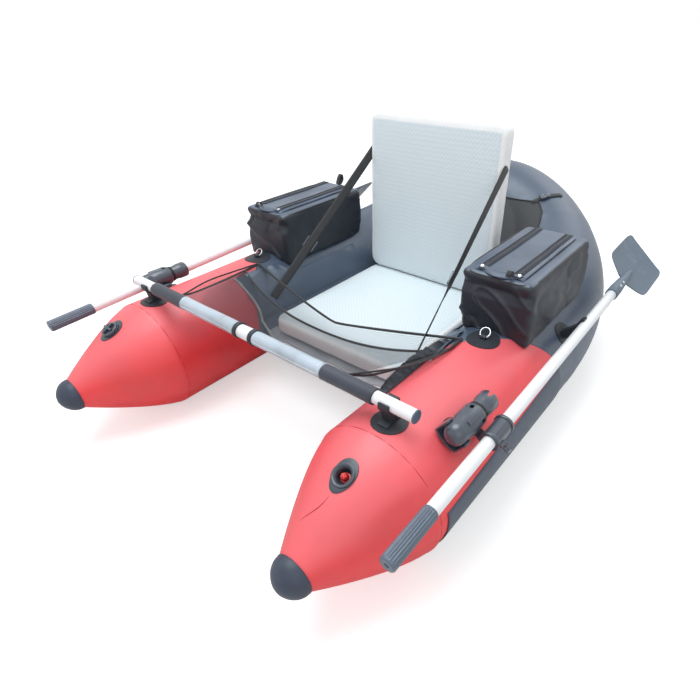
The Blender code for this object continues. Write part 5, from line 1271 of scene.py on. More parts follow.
def make_barrel(name, axes):
    """Domed barrel with two windows and a pin's holes, a rib along it and a near-black seal ring of painted shade in
    the gap before the socket.
    """
    body = name + "_barrel"
    profile = []
    for i in range(13):
        turn = math.pi / 2 * i / 12
        profile.append((0.0245 * math.sin(turn) ** 0.85, -0.0245 * math.cos(turn)))
    profile += [(0.0247, 0.010), (0.0262, 0.020), (0.0265, 0.024), (0.0265, 0.0605), (0.0260, 0.0630)]
    profile += [(0.0250, 0.0645), (0.0186, 0.0645), (0.0186, 0.0680), (0.0175, 0.0680), (0.0175, 0.0080), (0.0, 0.0080)]
    barrel = (name + "_rod_barrel",)
    shell = spun(body + "_shell", profile, axes, 72, "black plastic", body, barrel, "black_plastic", 35)
    work = bmesh.new()
    for way in (-1, 1):
        block(work, beside(axes, axes.toward(90 + way * 42.0), 0.0525, 0.022), (0.018, 0.008, 0.010))
        pin = oriented(axes.at(way * 0.0245, 0, 0), axes.x * way, axes.z)
        bmesh.ops.create_cone(
            work, cap_ends=True, segments=24, radius1=0.0053, radius2=0.0053, depth=0.0100, matrix=pin.matrix(),
        )
    cut_out(shell, "window_tool_" + name, work)
    work = bmesh.new()
    block(work, beside(axes, axes.toward(90.0), 0.036, 0.0262), (0.0040, 0.0110, 0.046))
    settle(body + "_rib", soften(work, 0.0016, 3), "black plastic", body, slot="black_plastic", sharp=40)
    # The seal ring is near black: painted shade of the gap between barrel and socket.
    seal = [(0.0190, 0.0647), (0.0222, 0.0647), (0.0225, 0.0655), (0.0225, 0.0735), (0.0217, 0.0745)]
    seal += [(0.0210, 0.0745), (0.0210, 0.0681), (0.0190, 0.0681)]
    spun(body + "_seal", ring(seal), axes, 48, "seal rubber", body, slot="black_rubber")


def make_socket(name, axes):
    """Collar that turns behind the barrel, with its tapered notch."""
    low, high = 0.0683, 0.1183
    profile = [(0.0175, low), (0.0204, low), (0.0208, low + 0.0008), (0.0208, low + 0.016), (0.0214, low + 0.020)]
    profile += [(0.0226, low + 0.026), (0.0228, low + 0.030), (0.0228, high - 0.0012), (0.0220, high), (0.0192, high)]
    profile += [(0.0186, high - 0.0010), (0.0182, high - 0.010)]
    body, socket = name + "_socket", (name + "_rod_socket",)
    shell = spun(body + "_shell", ring(profile), axes, 72, "black plastic", body, socket, "black_plastic", 35)
    work = bmesh.new()
    corners = bmesh.ops.create_cube(work, size=1.0)["verts"]
    lean = math.radians(24.0)
    out = axes.y * math.cos(lean) - axes.x * math.sin(lean)
    place = Axes(axes.at(0, 0, high - 0.0030) + out * 0.0205, out.cross(axes.z), out, axes.z)
    for vert in corners:
        if vert.co.z < 0:
            vert.co.x *= 0.3
    matrix = place.matrix() @ Matrix.Diagonal((0.0135, 0.016, 0.0240, 1.0))
    bmesh.ops.transform(work, matrix=matrix, verts=corners)
    cut_out(shell, "notch_tool_" + name, faced(work))


def make_rod_holder(name, side):
    """Barrel on the clamp and the socket that turns behind it."""
    inward, out = (side * 0.78801, 0, -0.61566), (side * 0.61566, 0, 0.78801)
    axes = Axes((side * 0.53505, -0.4815, 0.30866), inward, out, (0, 1, 0))
    make_barrel(name, axes)
    make_socket(name, axes)


# Pads
def swell_pad(piece, pressure, cap, voxel=0.006, last=20):
    """Cloth swelling as air would do it, capped, and fixed in the mesh."""
    scene = bpy.context.scene
    body = piece.parent
    piece.parent = None
    add_modifier(piece, "REMESH", mode="VOXEL", voxel_size=voxel)
    apply_modifiers(piece)
    rest = np.zeros(len(piece.data.vertices) * 3)
    piece.data.vertices.foreach_get("co", rest)
    rest = rest.reshape(-1, 3)
    cloth = piece.modifiers.new("Cloth", "CLOTH")
    cloth.settings.quality = 4
    cloth.settings.use_pressure = True
    cloth.settings.uniform_pressure_force = pressure
    cloth.settings.effector_weights.gravity = 0.0
    cloth.point_cache.frame_start = 1
    cloth.point_cache.frame_end = last
    for at in range(1, last + 1):
        scene.frame_set(at)
    swollen = piece.evaluated_get(bpy.context.evaluated_depsgraph_get())
    moved = np.zeros(rest.size)
    swollen.to_mesh().vertices.foreach_get("co", moved)
    swollen.to_mesh_clear()
    step = moved.reshape(-1, 3) - rest
    size = np.linalg.norm(step, axis=1, keepdims=True)
    held = rest + step * np.minimum(1.0, cap / np.maximum(size, 1e-9))
    piece.modifiers.clear()
    piece.data.vertices.foreach_set("co", held.reshape(-1))
    piece.data.update()
    scene.frame_set(1)
    add_modifier(piece, "SMOOTH", factor=0.5, iterations=3)
    apply_modifiers(piece)
    piece.parent = body


def mark_panels(piece, axes, half, border):
    """Marks the two patterned faces of a pad and gives each point its place across them."""
    mesh = piece.data
    panel = mesh.attributes.new("panel", "FLOAT", "POINT")
    place = mesh.attributes.new("pad_place", "FLOAT_VECTOR", "POINT")
    for i, vert in enumerate(mesh.vertices):
        away = vert.co - axes.o
        x, y = away.dot(axes.x), away.dot(axes.y)
        inside = min(half[0] - abs(x), half[1] - abs(y)) - border
        flat = abs(vert.normal.dot(axes.z)) > 0.6
        panel.data[i].value = clamp(inside / 0.002) if flat else 0.0
        place.data[i].vector = (x, y, 0.0)


def pad_box(size, edge, half, corner):
    """A flat pad with rounded edges and corners, centred on the origin."""
    work = rounded_box(size, edge, 44)
    for vert in work.verts:
        px, py = abs(vert.co.x) - (half[0] - corner), abs(vert.co.y) - (half[1] - corner)
        if px > 0 and py > 0:
            reach, most = math.hypot(px, py), max(px, py)
            vert.co.x = math.copysign(half[0] - corner + px * most / reach, vert.co.x)
            vert.co.y = math.copysign(half[1] - corner + py * most / reach, vert.co.y)
    return work


def pad_piece(name, work, axes, body, node, swell):
    """Settles a pad and lets its air swell it."""
    seat = settings("seat")
    bmesh.ops.transform(work, matrix=axes.matrix(), verts=work.verts)
    made = settle(name, work, "pad cloth", body, (node,), "seat_pvc")
    swell_pad(made, seat.pressure, seat.swell * swell)
    return made


def finish_pad(piece, axes, half):
    mark_panels(piece, axes, half, settings("seat").border)
    add_modifier(piece, "SUBSURF", levels=1, render_levels=1)


def make_seat_pad():
    """Seat cushion swollen by its air, with welded borders."""
    half = (0.225, 0.2575)
    wide = 0.2385
    axes = Axes((0, SEAT_Y + half[1], (SEAT_Z + SEAT_TOP) / 2 - 0.001), (1, 0, 0), (0, 1, 0), (0, 0, 1))
    work = pad_box((half[0] * 2 - 0.006, half[1] * 2 - 0.006, 0.046), 0.012, half, 0.045)
    for vert in work.verts:
        if vert.co.z > 0.01:
            vert.co.z += 0.003 * (1 - (vert.co.x / half[0]) ** 2) * (1 - (vert.co.y / half[1]) ** 2)
    made = pad_piece("seat_pad", work, axes, "hull", "seat_cushion", 0.7)
    verts = made.data.vertices
    widen = wide / max(abs(v.co.x) for v in verts)
    ahead = (SEAT_Y - 0.0035 - axes.o.y) / (min(v.co.y for v in verts) - axes.o.y)
    for vert in verts:
        vert.co.x *= widen
        if vert.co.y < axes.o.y:
            vert.co.y = axes.o.y + (vert.co.y - axes.o.y) * ahead
        vert.co.z = clamp(vert.co.z, SEAT_Z + 0.0004, SEAT_TOP + 0.0015)
        if vert.co.y > BACK_Y - 0.012:
            vert.co.z = min(vert.co.z, BACK_Z - 0.0006)
    finish_pad(made, axes, (wide, half[1]))


def make_backrest_pad():
    """Backrest panel with its diamond pattern, welded border and side walls."""
    lean = math.radians(BACK_LEAN)
    up, face = Vector((0, math.sin(lean), math.cos(lean))), Vector((0, -math.cos(lean), math.sin(lean)))
    half, full = (0.232, 0.2405), (0.2375, 0.2535)
    base = Axes((0, BACK_Y, BACK_Z), (1, 0, 0), up, face)
    centre = Axes(base.at(0, half[1] + 0.0015, -0.02775), base.x, base.y, base.z)
    work = pad_box((half[0] * 2 - 0.005, half[1] * 2 - 0.004, 0.0515), 0.010, half, 0.034)
    made = pad_piece("backrest_pad", work, centre, "backrest_body", "backrest", 0.5)
    verts = made.data.vertices
    reach = [max(abs((v.co - centre.o).dot(way)) for v in verts) for way in (centre.x, centre.y)]
    for vert in verts:
        away = vert.co - centre.o
        for way, size, most in zip((centre.x, centre.y), full, reach):
            vert.co += way * away.dot(way) * (size / most - 1)
    foot = BACK_Z + 0.0006
    rise = max(0.0, foot - min(v.co.z for v in verts))
    for vert in verts:
        vert.co += centre.y * rise
        vert.co.z = max(vert.co.z, foot)
    finish_pad(made, centre, full)


# Sling and apron
def sling_point(u, v):
    """Point of the sling: flat below the cushion, slack at its side, then glued up the tube."""
    y = SLING_Y + (SLING_END_Y - SLING_Y) * v
    front = max(0.0, 1 - v / 0.28)
    top_angle = float(np.interp(y, (SLING_Y, BAG_Y - 0.025, BAG_Y - 0.006), (111.0, 114.0, 133.0)))
    across = u * 2 - 1
    side = 1 if across > 0 else -1
    share = abs(across)
    level = SLING_Z + 0.0014
    if share > 0.55:
        rise = (share - 0.55) / 0.45
        bunched = 0.5 + 0.5 * math.sin(y * 95 + math.sin(y * 37) * 2)
        angle = SLING_ANGLE + (top_angle - SLING_ANGLE) * rise
        place = on_tube(side, y, angle, SLING_LIFT + 0.0045 * rise**4 * bunched)
        slack = math.sin(math.pi * min(1.0, (share - 0.55) / 0.3)) if rise < 0.66 else 0.0
        place.x -= side * 0.010 * slack * front
        return place
    if share <= 0.5:
        ripple = 0.004 * (math.sin(across * 17) + 0.6 * math.sin(across * 31 + v * 22)) if v < 0.06 else 0.0
        return Vector((side * SLING_HALF * share / 0.5, y, level + (ripple - 0.002) * front))
    edge = on_tube(side, y, SLING_ANGLE, SLING_LIFT)
    return Vector((side * SLING_HALF, y, level)).lerp(edge, (share - 0.5) / 0.05)


def make_sling():
    """Seat sling: cloth glued up the tubes, hanging with soft folds before the cushion."""
    work = faced(grid_sheet(120, 60, sling_point, 0.86, 0.545))
    made = settle("sling_cloth", work, "sling cloth", "hull", ("seat_sling",), "grey_fabric")
    made.data.materials.append(finish("dark hull cloth"))
    for face in made.data.polygons:
        face.material_index = 1 if abs(face.center.x) > 0.240 else 0
    thicken(made, 0.0014)
    path = [sling_point(i / 90, 0.0) + Vector((0, -0.001, 0.0004)) for i in range(91)]
    hem = cord("sling_hem", path, 0.0036, 10, "silver piping", "hull", "grey_fabric")


def edge_point(shape, share):
    """Point of the apron's hem or rim, at a share from -1 to 1."""
    width, y, height, sag, bow, power = shape
    size = math.hypot(share, 0.03) / math.hypot(1, 0.03)
    drop = 1 - size ** (power if share > 0 else power * 1.12)
    return Vector((width / 2 * share, y - bow * drop, height - sag * drop))


def net_point(u, v):
    """Point of the apron's net, which hangs a little between the bar and the hem."""
    across = u * 2 - 1
    front = Vector((0.29 * across, BAR_Y + 0.0175, BAR_Z - 0.004))
    here = front.lerp(edge_point(HEM, across), v)
    here.z -= 0.020 * math.sin(math.pi * v) * (1 - across * across)
    here.z += 0.0012 * math.sin(math.pi * v) * math.sin(across * 9 + v * 5)
    return here


def band_point(u, v):
    """Point of the band between the apron's hem and its rim."""
    across = u * 2 - 1
    here = edge_point(HEM, across).lerp(edge_point(RIM, across), v)
    here.z -= 0.0015 * math.sin(math.pi * v)
    return here


def bunch_point(u, v):
    """Point of the cloth that bunches up on the near pontoon beside the apron."""
    high = math.sin(math.pi * (0.04 + 0.92 * v)) ** 0.5
    crumple = 0.0045 * u * math.sin(v * 58 + math.sin(v * 21) * 2)
    foot = on_tube(1, RIM[1] - 0.012 - 0.262 * v, 115.0, 0.0024)
    return foot + Vector((-0.027 * u * high + 0.5 * crumple, 0, 0.013 * u * high + crumple))


def at_share(path, share):
    """Point of a path of even steps."""
    at = share * (len(path) - 1)
    k = min(int(at), len(path) - 2)
    return path[k].lerp(path[k + 1], at - k)


def apron_wing(name, side, radius):
    """Cords and gusset that join one side of the apron to the bar: the cords, then the gusset."""
    bar = Vector((side * 0.292, BAR_Y + 0.0180, BAR_Z + 0.001))
    hem_end, rim_end = edge_point(HEM, side), edge_point(RIM, side)
    low = smooth_path((bar, (side * 0.318, -0.46, 0.334), (side * 0.350, -0.35, 0.3165), hem_end), 10)
    high = smooth_path((bar, (side * 0.352, -0.40, 0.333), (side * 0.374, -0.30, 0.3175), rim_end), 10)

    def gusset(u, v):
        wave = 0.0030 * math.sin(math.pi * u) * math.sin(v * 31 + u * 5)
        return at_share(low, v).lerp(at_share(high, v), u) + Vector((0, 0, wave))

    cords = [piping(name + "_apron_side", low, radius * 0.8)]
    work = grid_sheet(8, 60, gusset, 0.03, 0.34)
    wing = settle(name + "_apron_gusset", work, "band mesh", "hull", slot="black_fabric")
    cords.append(piping(name + "_apron_outer_cord", high, radius * 0.7))
    cords.append(piping(name + "_apron_end", [hem_end.lerp(rim_end, i / 8) for i in range(9)], radius * 0.9))
    return cords, wing


def make_apron():
    """See-through stripping apron with its black hem, rim and side cords."""
    radius = settings("apron").piping_radius
    work = grid_sheet(72, 30, net_point, 0.70, 0.25)
    sheet = settle("apron_mesh", work, "apron mesh", "hull", ("apron_net",), "black_fabric")
    cords, wings = [], []
    for label, shape in (("hem", HEM), ("rim", RIM)):
        path = [edge_point(shape, -1 + 2 * i / 80) + Vector((0, 0, 0.0002)) for i in range(81)]
        cords.append(piping("apron_" + label, path, radius, 12))
    for name, side in SIDES:
        side_cords, wing = apron_wing(name, side, radius)
        cords += side_cords
        wings.append(wing)
    work = grid_sheet(8, 90, bunch_point, 0.03, 0.27)
    wings.append(settle("right_apron_bunch", work, "bag nylon", "hull", slot="black_fabric"))
    thicken(wings[-1], 0.0016)
    work = grid_sheet(72, 8, band_point, 0.78, 0.055)
    strip = settle("apron_band", work, "band mesh", "hull", ("apron_border",), "black_fabric")


# Bags
def bag_shape(side, point, fold):
    """Where a point of the plain bag box goes: leaning walls, drawn-in waist and folds."""
    x, y, z = point
    height = (z + 0.085) / 0.17
    bulge = math.sin(math.pi * clamp(height))
    x *= 1 + 0.05 * bulge
    y *= 1 + 0.02 * bulge
    wide, long = BAG_HALF
    wall = max(abs(x) / wide, abs(y) / long)
    on_wall = clamp((wall - 0.85) / 0.1) * clamp((1.02 - height) * 5)
    where = Vector((x * 9 + side * 3.1, y * 9, z * 11))
    crease = noise.noise(where) + 0.5 * noise.noise(where * 2.3)
    ridge = 1 - abs(noise.noise(Vector((x * 11 + z * 9 + side, y * 9 + z * 8, z * 6 - x * 5)))) * 2.6
    front = clamp((-y / long - 0.9) / 0.08)
    sharp_fold = 1 - min(1.0, abs(noise.noise(Vector((x * 9 - z * 6, y * 8 + z * 7, z * 5 + side * 2.3)))) * 8)
    push = fold * (0.45 * crease + (0.3 + 0.6 * front) * max(0.0, ridge) ** 3 - 0.45 * sharp_fold - 0.1)
    push -= 0.010 * front * max(0.0, 1 - abs(height - 0.80) / 0.14)
    push -= 0.009 * max(0.0, 0.55 - height) * (1 - front)
    out = Vector((x / wide, y / long, 0))
    if out.length > 0:
        out.normalize()
    dip = 0.004 * (height - 0.9) * 10 * (1 - min(1.0, wall)) if height > 0.9 else 0.0
    return Vector((x + 0.006 * side * (1 - height), y, z - dip)) + out * push * on_wall


def make_bag(name, side):
    """Soft nylon bag over the tube with a piped top edge, and the far one's webbing loop."""
    middle = Vector((side * BAG_X, BAG_Y + BAG_HALF[1], BAG_TOP - 0.085))
    fold = settings("bags").fold_depth
    work = rounded_box((0.186, 0.356, 0.170), 0.017, 40)
    for vert in work.verts:
        vert.co = bag_shape(side, vert.co, fold) + middle
    clear_of_hull(work, 0.0016, True)
    body = settle(name + "_bag_shell", work, "bag nylon", "hull", (name + "_bag",), "black_fabric")
    body.data.materials.append(finish("bag lid nylon"))
    # Upward faces of the top take the paler nylon: painted light.
    for face in body.data.polygons:
        face.material_index = 1 if face.normal.z > 0.8 and face.center.z > BAG_TOP - 0.02 else 0
    add_modifier(body, "SUBSURF", levels=1, render_levels=1)
    path = []
    for i in range(120):
        turn = 2 * math.pi * i / 120
        x = math.copysign(abs(math.cos(turn)) ** 0.25, math.cos(turn)) * 0.0885
        y = math.copysign(abs(math.sin(turn)) ** 0.25, math.sin(turn)) * 0.1735
        dip = 0.0045 + 0.002 * math.sin(turn * 3) ** 2
        path.append(Vector((side * BAG_X + x, BAG_Y + BAG_HALF[1] + y, BAG_TOP - dip)))
    piping(name + "_bag_edge", path + path[:1], 0.0022, 8, caps=False)
    if side < 0:
        loop = ((0.0, 0.170, -0.002), (0.004, 0.182, 0.014), (0.0, 0.184, 0.030), (-0.004, 0.176, 0.016))
        loop = smooth_path(loop + ((-0.003, 0.168, 0.000),), 8)
        at = Vector((side * (BAG_X + 0.005), BAG_Y + BAG_HALF[1], BAG_TOP))
        work = ribbon([at + p for p in loop], level_across, 0.016, 0.0018)
        settle(name + "_bag_loop", work, "black webbing", "hull", slot="black_fabric")


def make_zips(name, side, top):
    """Two zips of a lid, each between two thin lips."""
    body = name + "_lid"
    for way, label, where in ((-1, "l", 0.16), (1, "r", 0.84)):
        path = [top(where, i / 60) + Vector((0, 0, 0.0012)) for i in range(61)]
        work = ribbon(path, level_across, 0.015, 0.0012, 4)
        zip_name = name + "_zip_" + ("inner" if way * side < 0 else "outer")
        settle(zip_name, work, "bag zip", body, slot="black_fabric")
        for shift, letter in ((-0.0095, "a"), (0.0095, "b")):
            lip = [p + Vector((shift, 0, 0.0002)) for p in path]
            lip_name = name + "_zip_lip_%s_%s" % (label, letter)
            cord(lip_name, lip, 0.0011, 6, "bag nylon", body, "black_fabric")


def make_bag_lid(name, side):
    """Zipped lid panel: a raised top and front flap in paler nylon as painted light, two zips, snaps on the flap and a
    pull.
    """
    body = name + "_lid"
    x0 = side * BAG_X
    front, rear = -0.110, 0.196

    def top(u, v):
        x = (u - 0.5) * 0.126
        edge = min(1.0, min(u, 1 - u) * 9)
        sag = 0.0025 * math.sin(math.pi * u) * math.sin(math.pi * v)
        wave = 0.0012 * noise.noise(Vector((x * 20, (front + (rear - front) * v) * 14, side)))
        nose = max(0.0, 1 - v / 0.05)
        rise = 0.0018 + 0.0052 * edge**0.6 - sag + wave - 0.012 * nose**1.6 * 0.3
        return Vector((x0 + x, front + (rear - front) * v - 0.004 * nose, BAG_TOP + rise))

    work = faced(grid_sheet(40, 80, top, 0.126, 0.306))
    panel = settle(name + "_lid_panel", work, "bag lid nylon", body, (name + "_bag_lid",), "black_fabric")
    thicken(panel, 0.0016, -1.0)
    make_zips(name, side, top)

    def flap(u, v):
        x = (u - 0.5) * (0.112 - 0.022 * v * v)
        bow = math.cos((u - 0.5) * 2.6)
        return Vector((x0 + x, front + 0.008 - 0.026 * v * bow, BAG_TOP + 0.0070 - 0.011 * v * v + 0.004 * bow * v))

    work = faced(grid_sheet(30, 10, flap, 0.112, 0.022))
    # The flap takes the paler nylon too: painted light.
    tongue = settle(name + "_lid_flap", work, "bag lid nylon", body, slot="black_fabric")
    thicken(tongue, 0.0016)
    work = bmesh.new()
    snap = [(0.0, -0.002), (0.0046, -0.002), (0.0048, 0.0006), (0.0038, 0.0016), (0.0022, 0.0012), (0.0, 0.0013)]
    for x in (-0.048, 0.048):
        revolve(work, snap, oriented((x0 + x, front + 0.004, BAG_TOP + 0.0072), (0, -0.35, 1)), 24)
    settle(name + "_lid_snaps", work, "bright steel", body, slot="steel", sharp=40)
    start = Vector((x0 + side * 0.030, front + 0.002, BAG_TOP + 0.0085))
    path = [start + Vector((0, -0.004 * i, 0.010 * math.sin(math.pi * i / 5))) for i in range(6)]
    work = ribbon(path, level_across, 0.012, 0.0016)
    settle(name + "_lid_pull", work, "black webbing", body, slot="black_fabric")


# Straps and cargo deck
def make_back_strap(name, side):
    """Webbing from the backrest's edge to the sling, with its ladder buckle."""
    top, anchor, twist, buckle_share = STRAPS[side]
    ahead = (anchor - top).normalized()
    wide = Vector((0, 1, 0))
    wide = (wide - ahead * wide.dot(ahead)).normalized()
    thick = ahead.cross(wide).normalized()

    def across(share):
        turn = math.radians(float(np.interp(share, (0.0, buckle_share - 0.03, buckle_share + 0.09, 1.0), twist)))
        return wide * math.cos(turn) + thick * math.sin(turn)

    work = ribbon([top.lerp(anchor, i / 60) for i in range(61)], across, 0.0255, 0.0020, 4)
    strap = settle(name + "_back_webbing", work, "black webbing", None, (name + "_back_strap",), "black_fabric")
    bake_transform(strap)
    turned = across(buckle_share)
    axes = Axes(top.lerp(anchor, buckle_share), turned, ahead, turned.cross(ahead))
    work = bmesh.new()
    for along in (-0.016, 0.0, 0.016):
        block(work, axes.matrix((0, along, 0.0025)), (0.034, 0.0055, 0.0045))
    for way in (-0.0155, 0.0155):
        block(work, axes.matrix((way, 0, 0.001)), (0.0045, 0.0375, 0.0050))
    soften(work, 0.0010, 2)
    buckle = settle(name + "_ladder_buckle", work, "black plastic", None, slot="black_plastic", sharp=40)
    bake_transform(buckle)


def make_cargo_deck():
    """Dark deck cloth behind the seat, hemmed with cord."""
    start = Vector((0, 0.2368, 0.1515))
    end = start + Vector((0, 0.305, 0.402 - start.z))
    last = (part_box("cargo_deck")[1].y - start.y) / 0.305

    def spot(u, v):
        along = last * v
        here = start.lerp(end, along)
        across = u * 2 - 1
        wide = float(np.interp(along, (0.0, 0.35, 0.74, 0.92, 1.0), (0.246, 0.262, 0.264, 0.240, 0.215)))
        sag = 0.014 * math.sin(math.pi * along) + 0.003 * (1 - across * across) * math.sin(math.pi * v)
        ripple = 0.0012 * math.sin(across * 12 + v * 9)
        return Vector((wide * across, here.y, here.z + 0.0015 - sag + ripple))

    work = clear_of_hull(grid_sheet(70, 50, spot, 0.52, 0.40), 0.0016)
    deck = settle("deck_cloth", work, "deck cloth", "hull", ("cargo_deck",), "black_fabric")
    thicken(deck, 0.0016)
    border = [(0.0, i / 24) for i in range(25)] + [(i / 30, 1.0) for i in range(1, 31)]
    border += [(1.0, 1 - i / 24) for i in range(1, 25)]
    border = [Vector(on_surface(spot(u, v) + Vector((0, 0, 0.002)), 0.0034)) for u, v in border]
    hem = piping("deck_hem", border, 0.0024, 8)


def make_cargo_strap():
    """Webbing tab on the stern tube with its side-release buckle."""
    share, low, span = 0.615, 60.0, 42.5
    here, ahead = bend_point(share), (bend_point(share + 0.01) - bend_point(share - 0.01)).normalized()
    inward = Vector((0, 0, 1)).cross(ahead).normalized()
    section = Axes(here, inward, ahead.cross(inward), ahead)
    path = []
    for i in range(31):
        lift = 0.0016 + 0.0035 * max(0.0, 1 - abs(i - 12) / 5)
        path.append(here + section.toward(low + span * i / 30) * (TUBE_RADIUS + lift))
    work = ribbon(path, lambda share: ahead, 0.016, 0.0020)
    settle("deck_strap", work, "black webbing", "hull", ("cargo_strap",), "black_fabric")
    out = section.toward(low + span * 0.42)
    axes = Axes(here + out * (TUBE_RADIUS + 0.0075), ahead, path[14] - path[11], out)
    work = bmesh.new()
    for y, width, length in ((-0.009, 0.022, 0.016), (0.008, 0.018, 0.018)):
        block(work, axes.matrix((0, y, 0)), (width, length, 0.0065))
    soften(work, 0.0016, 2)
    settle("deck_clip", work, "black plastic", "hull", slot="black_plastic", sharp=40)


# Operators
def done(operator):
    operator.report({"INFO"}, operator.bl_label + " made")
    return {"FINISHED"}


def both_sides(*makers):
    for name, side in SIDES:
        for make in makers:
            make(name, side)


class FLOATTUBE_OT_stage(bpy.types.Operator):
    """Pale floor, soft lights and the camera at the photograph's angle"""

    bl_idname = "float_tube.stage"
    bl_label = "Stage"

    def execute(self, context):
        make_stage()
        return done(self)


class FLOATTUBE_OT_hull(bpy.types.Operator):
    """Pontoons, stern tube, nose cones and wear strips"""

    bl_idname = "float_tube.hull"
    bl_label = "Hull"

    def execute(self, context):
        make_stern_tube()
        make_crease()
        both_sides(make_pontoon, make_nose, make_rub_band)
        return done(self)


class FLOATTUBE_OT_valves(bpy.types.Operator):
    """Open valve with its poppet, and the closed one with its cap"""

    bl_idname = "float_tube.valves"
    bl_label = "Valves"

    def execute(self, context):
        both_sides(make_valve)
        make_poppet()
        make_valve_cap()
        return done(self)


class FLOATTUBE_OT_crossbar(bpy.types.Operator):
    """Crossbar with its sleeves, foam and rings, and the two saddles"""

    bl_idname = "float_tube.crossbar"
    bl_label = "Crossbar"

    def execute(self, context):
        make_crossbar()
        for name, _ in SIDES:
            keep_node(name + "_bar_saddle", "black rubber", 0.001)
        return done(self)


class FLOATTUBE_OT_fittings(bpy.types.Operator):
    """Ring patches and rings, oar mounts, clamps and keepers"""

    bl_idname = "float_tube.fittings"
    bl_label = "Fittings"

    def execute(self, context):
        both_sides(make_clamp_trim)
        for name, _ in SIDES:
            keep_node(name + "_ring_patch", "black rubber", 0.0004)
            keep_node(name + "_ring", "bright steel", 0.0)
            keep_node(name + "_mount_base", "black rubber", 0.0004)
            keep_node(name + "_oar_bracket", "black plastic")
            keep_node(name + "_clamp_cap", "black plastic")
            keep_node(name + "_clamp_knob", "black plastic", 0.0005)
            keep_node(name + "_oar_keeper", "black rubber")
        return done(self)


class FLOATTUBE_OT_oars(bpy.types.Operator):
    """Shafts, grips and blades"""

    bl_idname = "float_tube.oars"
    bl_label = "Oars"

    def execute(self, context):
        both_sides(make_oar)
        return done(self)


class FLOATTUBE_OT_rod_holders(bpy.types.Operator):
    """Rod holder barrels and their turning collars"""

    bl_idname = "float_tube.rod_holders"
    bl_label = "Rod holders"

    def execute(self, context):
        both_sides(make_rod_holder)
        return done(self)


class FLOATTUBE_OT_seat(bpy.types.Operator):
    """Seat cushion, backrest, sling and back straps"""

    bl_idname = "float_tube.seat"
    bl_label = "Seat"

    def execute(self, context):
        make_sling()
        make_seat_pad()
        make_backrest_pad()
        both_sides(make_back_strap)
        return done(self)


class FLOATTUBE_OT_apron(bpy.types.Operator):
    """Stripping apron behind the crossbar"""

    bl_idname = "float_tube.apron"
    bl_label = "Apron"

    def execute(self, context):
        make_apron()
        return done(self)


class FLOATTUBE_OT_bags(bpy.types.Operator):
    """Tackle bags with their lids, zips and snaps"""

    bl_idname = "float_tube.bags"
    bl_label = "Bags"

    def execute(self, context):
        both_sides(make_bag, make_bag_lid)
        return done(self)


class FLOATTUBE_OT_cargo(bpy.types.Operator):
    """Cargo deck behind the seat and its strap"""

    bl_idname = "float_tube.cargo"
    bl_label = "Cargo deck"

    def execute(self, context):
        make_cargo_deck()
        make_cargo_strap()
        return done(self)


OPERATORS = (
    FLOATTUBE_OT_stage, FLOATTUBE_OT_hull, FLOATTUBE_OT_valves, FLOATTUBE_OT_crossbar, FLOATTUBE_OT_fittings,
    FLOATTUBE_OT_oars, FLOATTUBE_OT_rod_holders, FLOATTUBE_OT_seat, FLOATTUBE_OT_apron, FLOATTUBE_OT_bags,
    FLOATTUBE_OT_cargo,
)
SETTINGS = (
    ("hull", HullSettings), ("seat", SeatSettings), ("bags", BagSettings), ("apron", ApronSettings),
    ("oars", OarSettings), ("stage", StageSettings),
)


class FLOATTUBE_PT_panel(bpy.types.Panel):
    """Lists the pieces and their settings"""

    bl_idname = "FLOATTUBE_PT_panel"
    bl_label = "Float Tube"
    bl_space_type = "VIEW_3D"
    bl_region_type = "UI"
    bl_category = "Float Tube"

    def draw(self, context):
        for made in OPERATORS:
            self.layout.operator(made.bl_idname)
        for name, kind in SETTINGS:
            box = self.layout.box()
            box.label(text=name.title())
            for key in kind.__annotations__:
                box.prop(settings(name), key)


# Stage
def stand(name, data):
    """Puts a camera, a light or a mesh in the scene."""
    made = bpy.data.objects.new(name, data)
    bpy.context.scene.collection.objects.link(made)
    return made


def make_camera():
    """The photograph's camera, as solved from the tube's mirrored points."""
    az, el, roll = (math.radians(angle) for angle in PHOTO_ANGLES)
    ahead = Vector((-math.sin(az) * math.cos(el), math.cos(az) * math.cos(el), -math.sin(el)))
    right = Vector((math.cos(az), math.sin(az), 0))
    up = right.cross(ahead)
    across = right * math.cos(roll) + up * math.sin(roll)
    above = up * math.cos(roll) - right * math.sin(roll)
    data = bpy.data.cameras.new("photo_camera")
    data.sensor_width = 36.0
    data.lens = PHOTO_FOCUS * data.sensor_width / PHOTO_SIZE
    data.shift_x = (PHOTO_SIZE / 2 - PHOTO_MIDDLE[0]) / PHOTO_SIZE
    data.shift_y = (PHOTO_MIDDLE[1] - PHOTO_SIZE / 2) / PHOTO_SIZE
    camera = stand("photo_camera", data)
    turn = Matrix((across, above, -ahead)).transposed().to_4x4()
    camera.matrix_world = Matrix.Translation(PHOTO_PLACE) @ turn
    bpy.context.scene.camera = camera


def area_light(name, place, target, size, power):
    data = bpy.data.lights.new(name, "AREA")
    data.shape = "DISK"
    data.size = size
    data.energy = power
    data.color = (0.90, 0.965, 1.0)
    aim = (Vector(target) - Vector(place)).normalized()
    turn = aim.to_track_quat("-Z", "Y").to_matrix().to_4x4()
    stand(name, data).matrix_world = Matrix.Translation(place) @ turn


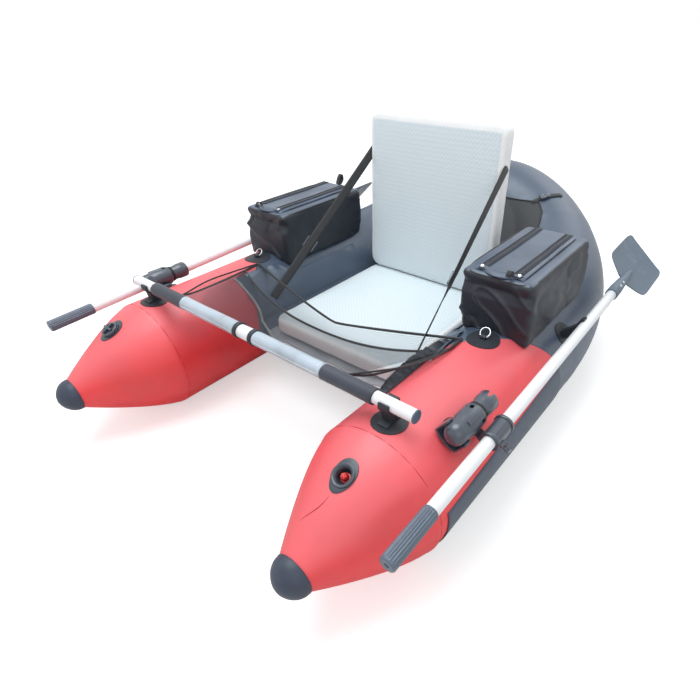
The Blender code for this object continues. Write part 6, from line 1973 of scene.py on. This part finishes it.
def make_floor():
    """Plain pale floor, which the camera sees nearly white."""
    work = bmesh.new()
    bmesh.ops.create_grid(work, x_segments=1, y_segments=1, size=14.0)
    bmesh.ops.translate(work, verts=work.verts, vec=(0, 0, -0.0015))
    mesh = bpy.data.meshes.new("pale_floor")
    work.to_mesh(mesh)
    work.free()
    floor = stand("pale_floor", mesh)
    paint = bpy.data.materials.new("pale floor paint")
    paint.use_nodes = True
    tree = paint.node_tree
    shader = tree.nodes["Principled BSDF"]
    shader.inputs["Base Color"].default_value = (0.82, 0.82, 0.82, 1)
    shader.inputs["Roughness"].default_value = 0.9
    shader.inputs["Specular IOR Level"].default_value = 0.0
    shader.inputs["Emission Color"].default_value = (1, 1, 1, 1)
    seen = tree.nodes.new("ShaderNodeLightPath").outputs["Is Camera Ray"]
    tree.links.new(maths(tree, "MULTIPLY", seen, 0.50), shader.inputs["Emission Strength"])
    mesh.materials.append(paint)


def make_world(sky):
    """White where the camera, a reflection or glass looks, and a weaker sky for light."""
    world = bpy.data.worlds.new("pale_surroundings")
    bpy.context.scene.world = world
    world.use_nodes = True
    tree = world.node_tree
    back = tree.nodes["Background"]
    back.inputs["Color"].default_value = (1, 1, 1, 1)
    path = tree.nodes.new("ShaderNodeLightPath").outputs
    seen = maths(tree, "ADD", path["Is Camera Ray"], path["Is Glossy Ray"])
    seen = maths(tree, "MINIMUM", maths(tree, "ADD", seen, path["Is Transmission Ray"]), 1.0)
    tree.links.new(scaled(tree, seen, 1.0 - sky, sky), back.inputs["Strength"])


def make_stage():
    stage = settings("stage")
    make_camera()
    area_light("key_light", (-0.4, -0.3, 3.0), (0, 0, 0.2), 2.4, stage.key_power)
    area_light("fill_light", (2.6, -2.2, 1.9), (0, 0, 0.2), 2.6, stage.fill_power)
    area_light("rear_light", (0.6, 2.8, 2.4), (0, 0.2, 0.3), 2.2, stage.key_power * 0.25)
    make_world(stage.sky)
    make_floor()
    bpy.context.scene.view_settings.view_transform = "Standard"


def register():
    for _, kind in SETTINGS:
        bpy.utils.register_class(kind)
    for made in OPERATORS + (FLOATTUBE_PT_panel,):
        bpy.utils.register_class(made)
    for name, kind in SETTINGS:
        setattr(bpy.types.Scene, "float_tube_" + name, bpy.props.PointerProperty(type=kind))


def unregister():
    for name, _ in SETTINGS:
        delattr(bpy.types.Scene, "float_tube_" + name)
    for made in (FLOATTUBE_PT_panel,) + OPERATORS[::-1]:
        bpy.utils.unregister_class(made)
    for _, kind in SETTINGS[::-1]:
        bpy.utils.unregister_class(kind)


def main():
    register()
    for made in OPERATORS:
        group, action = made.bl_idname.split(".")
        result = getattr(getattr(bpy.ops, group), action)()
        if result != {"FINISHED"}:
            raise RuntimeError(made.bl_label + " was not made")


if __name__ == "__main__":
    main()
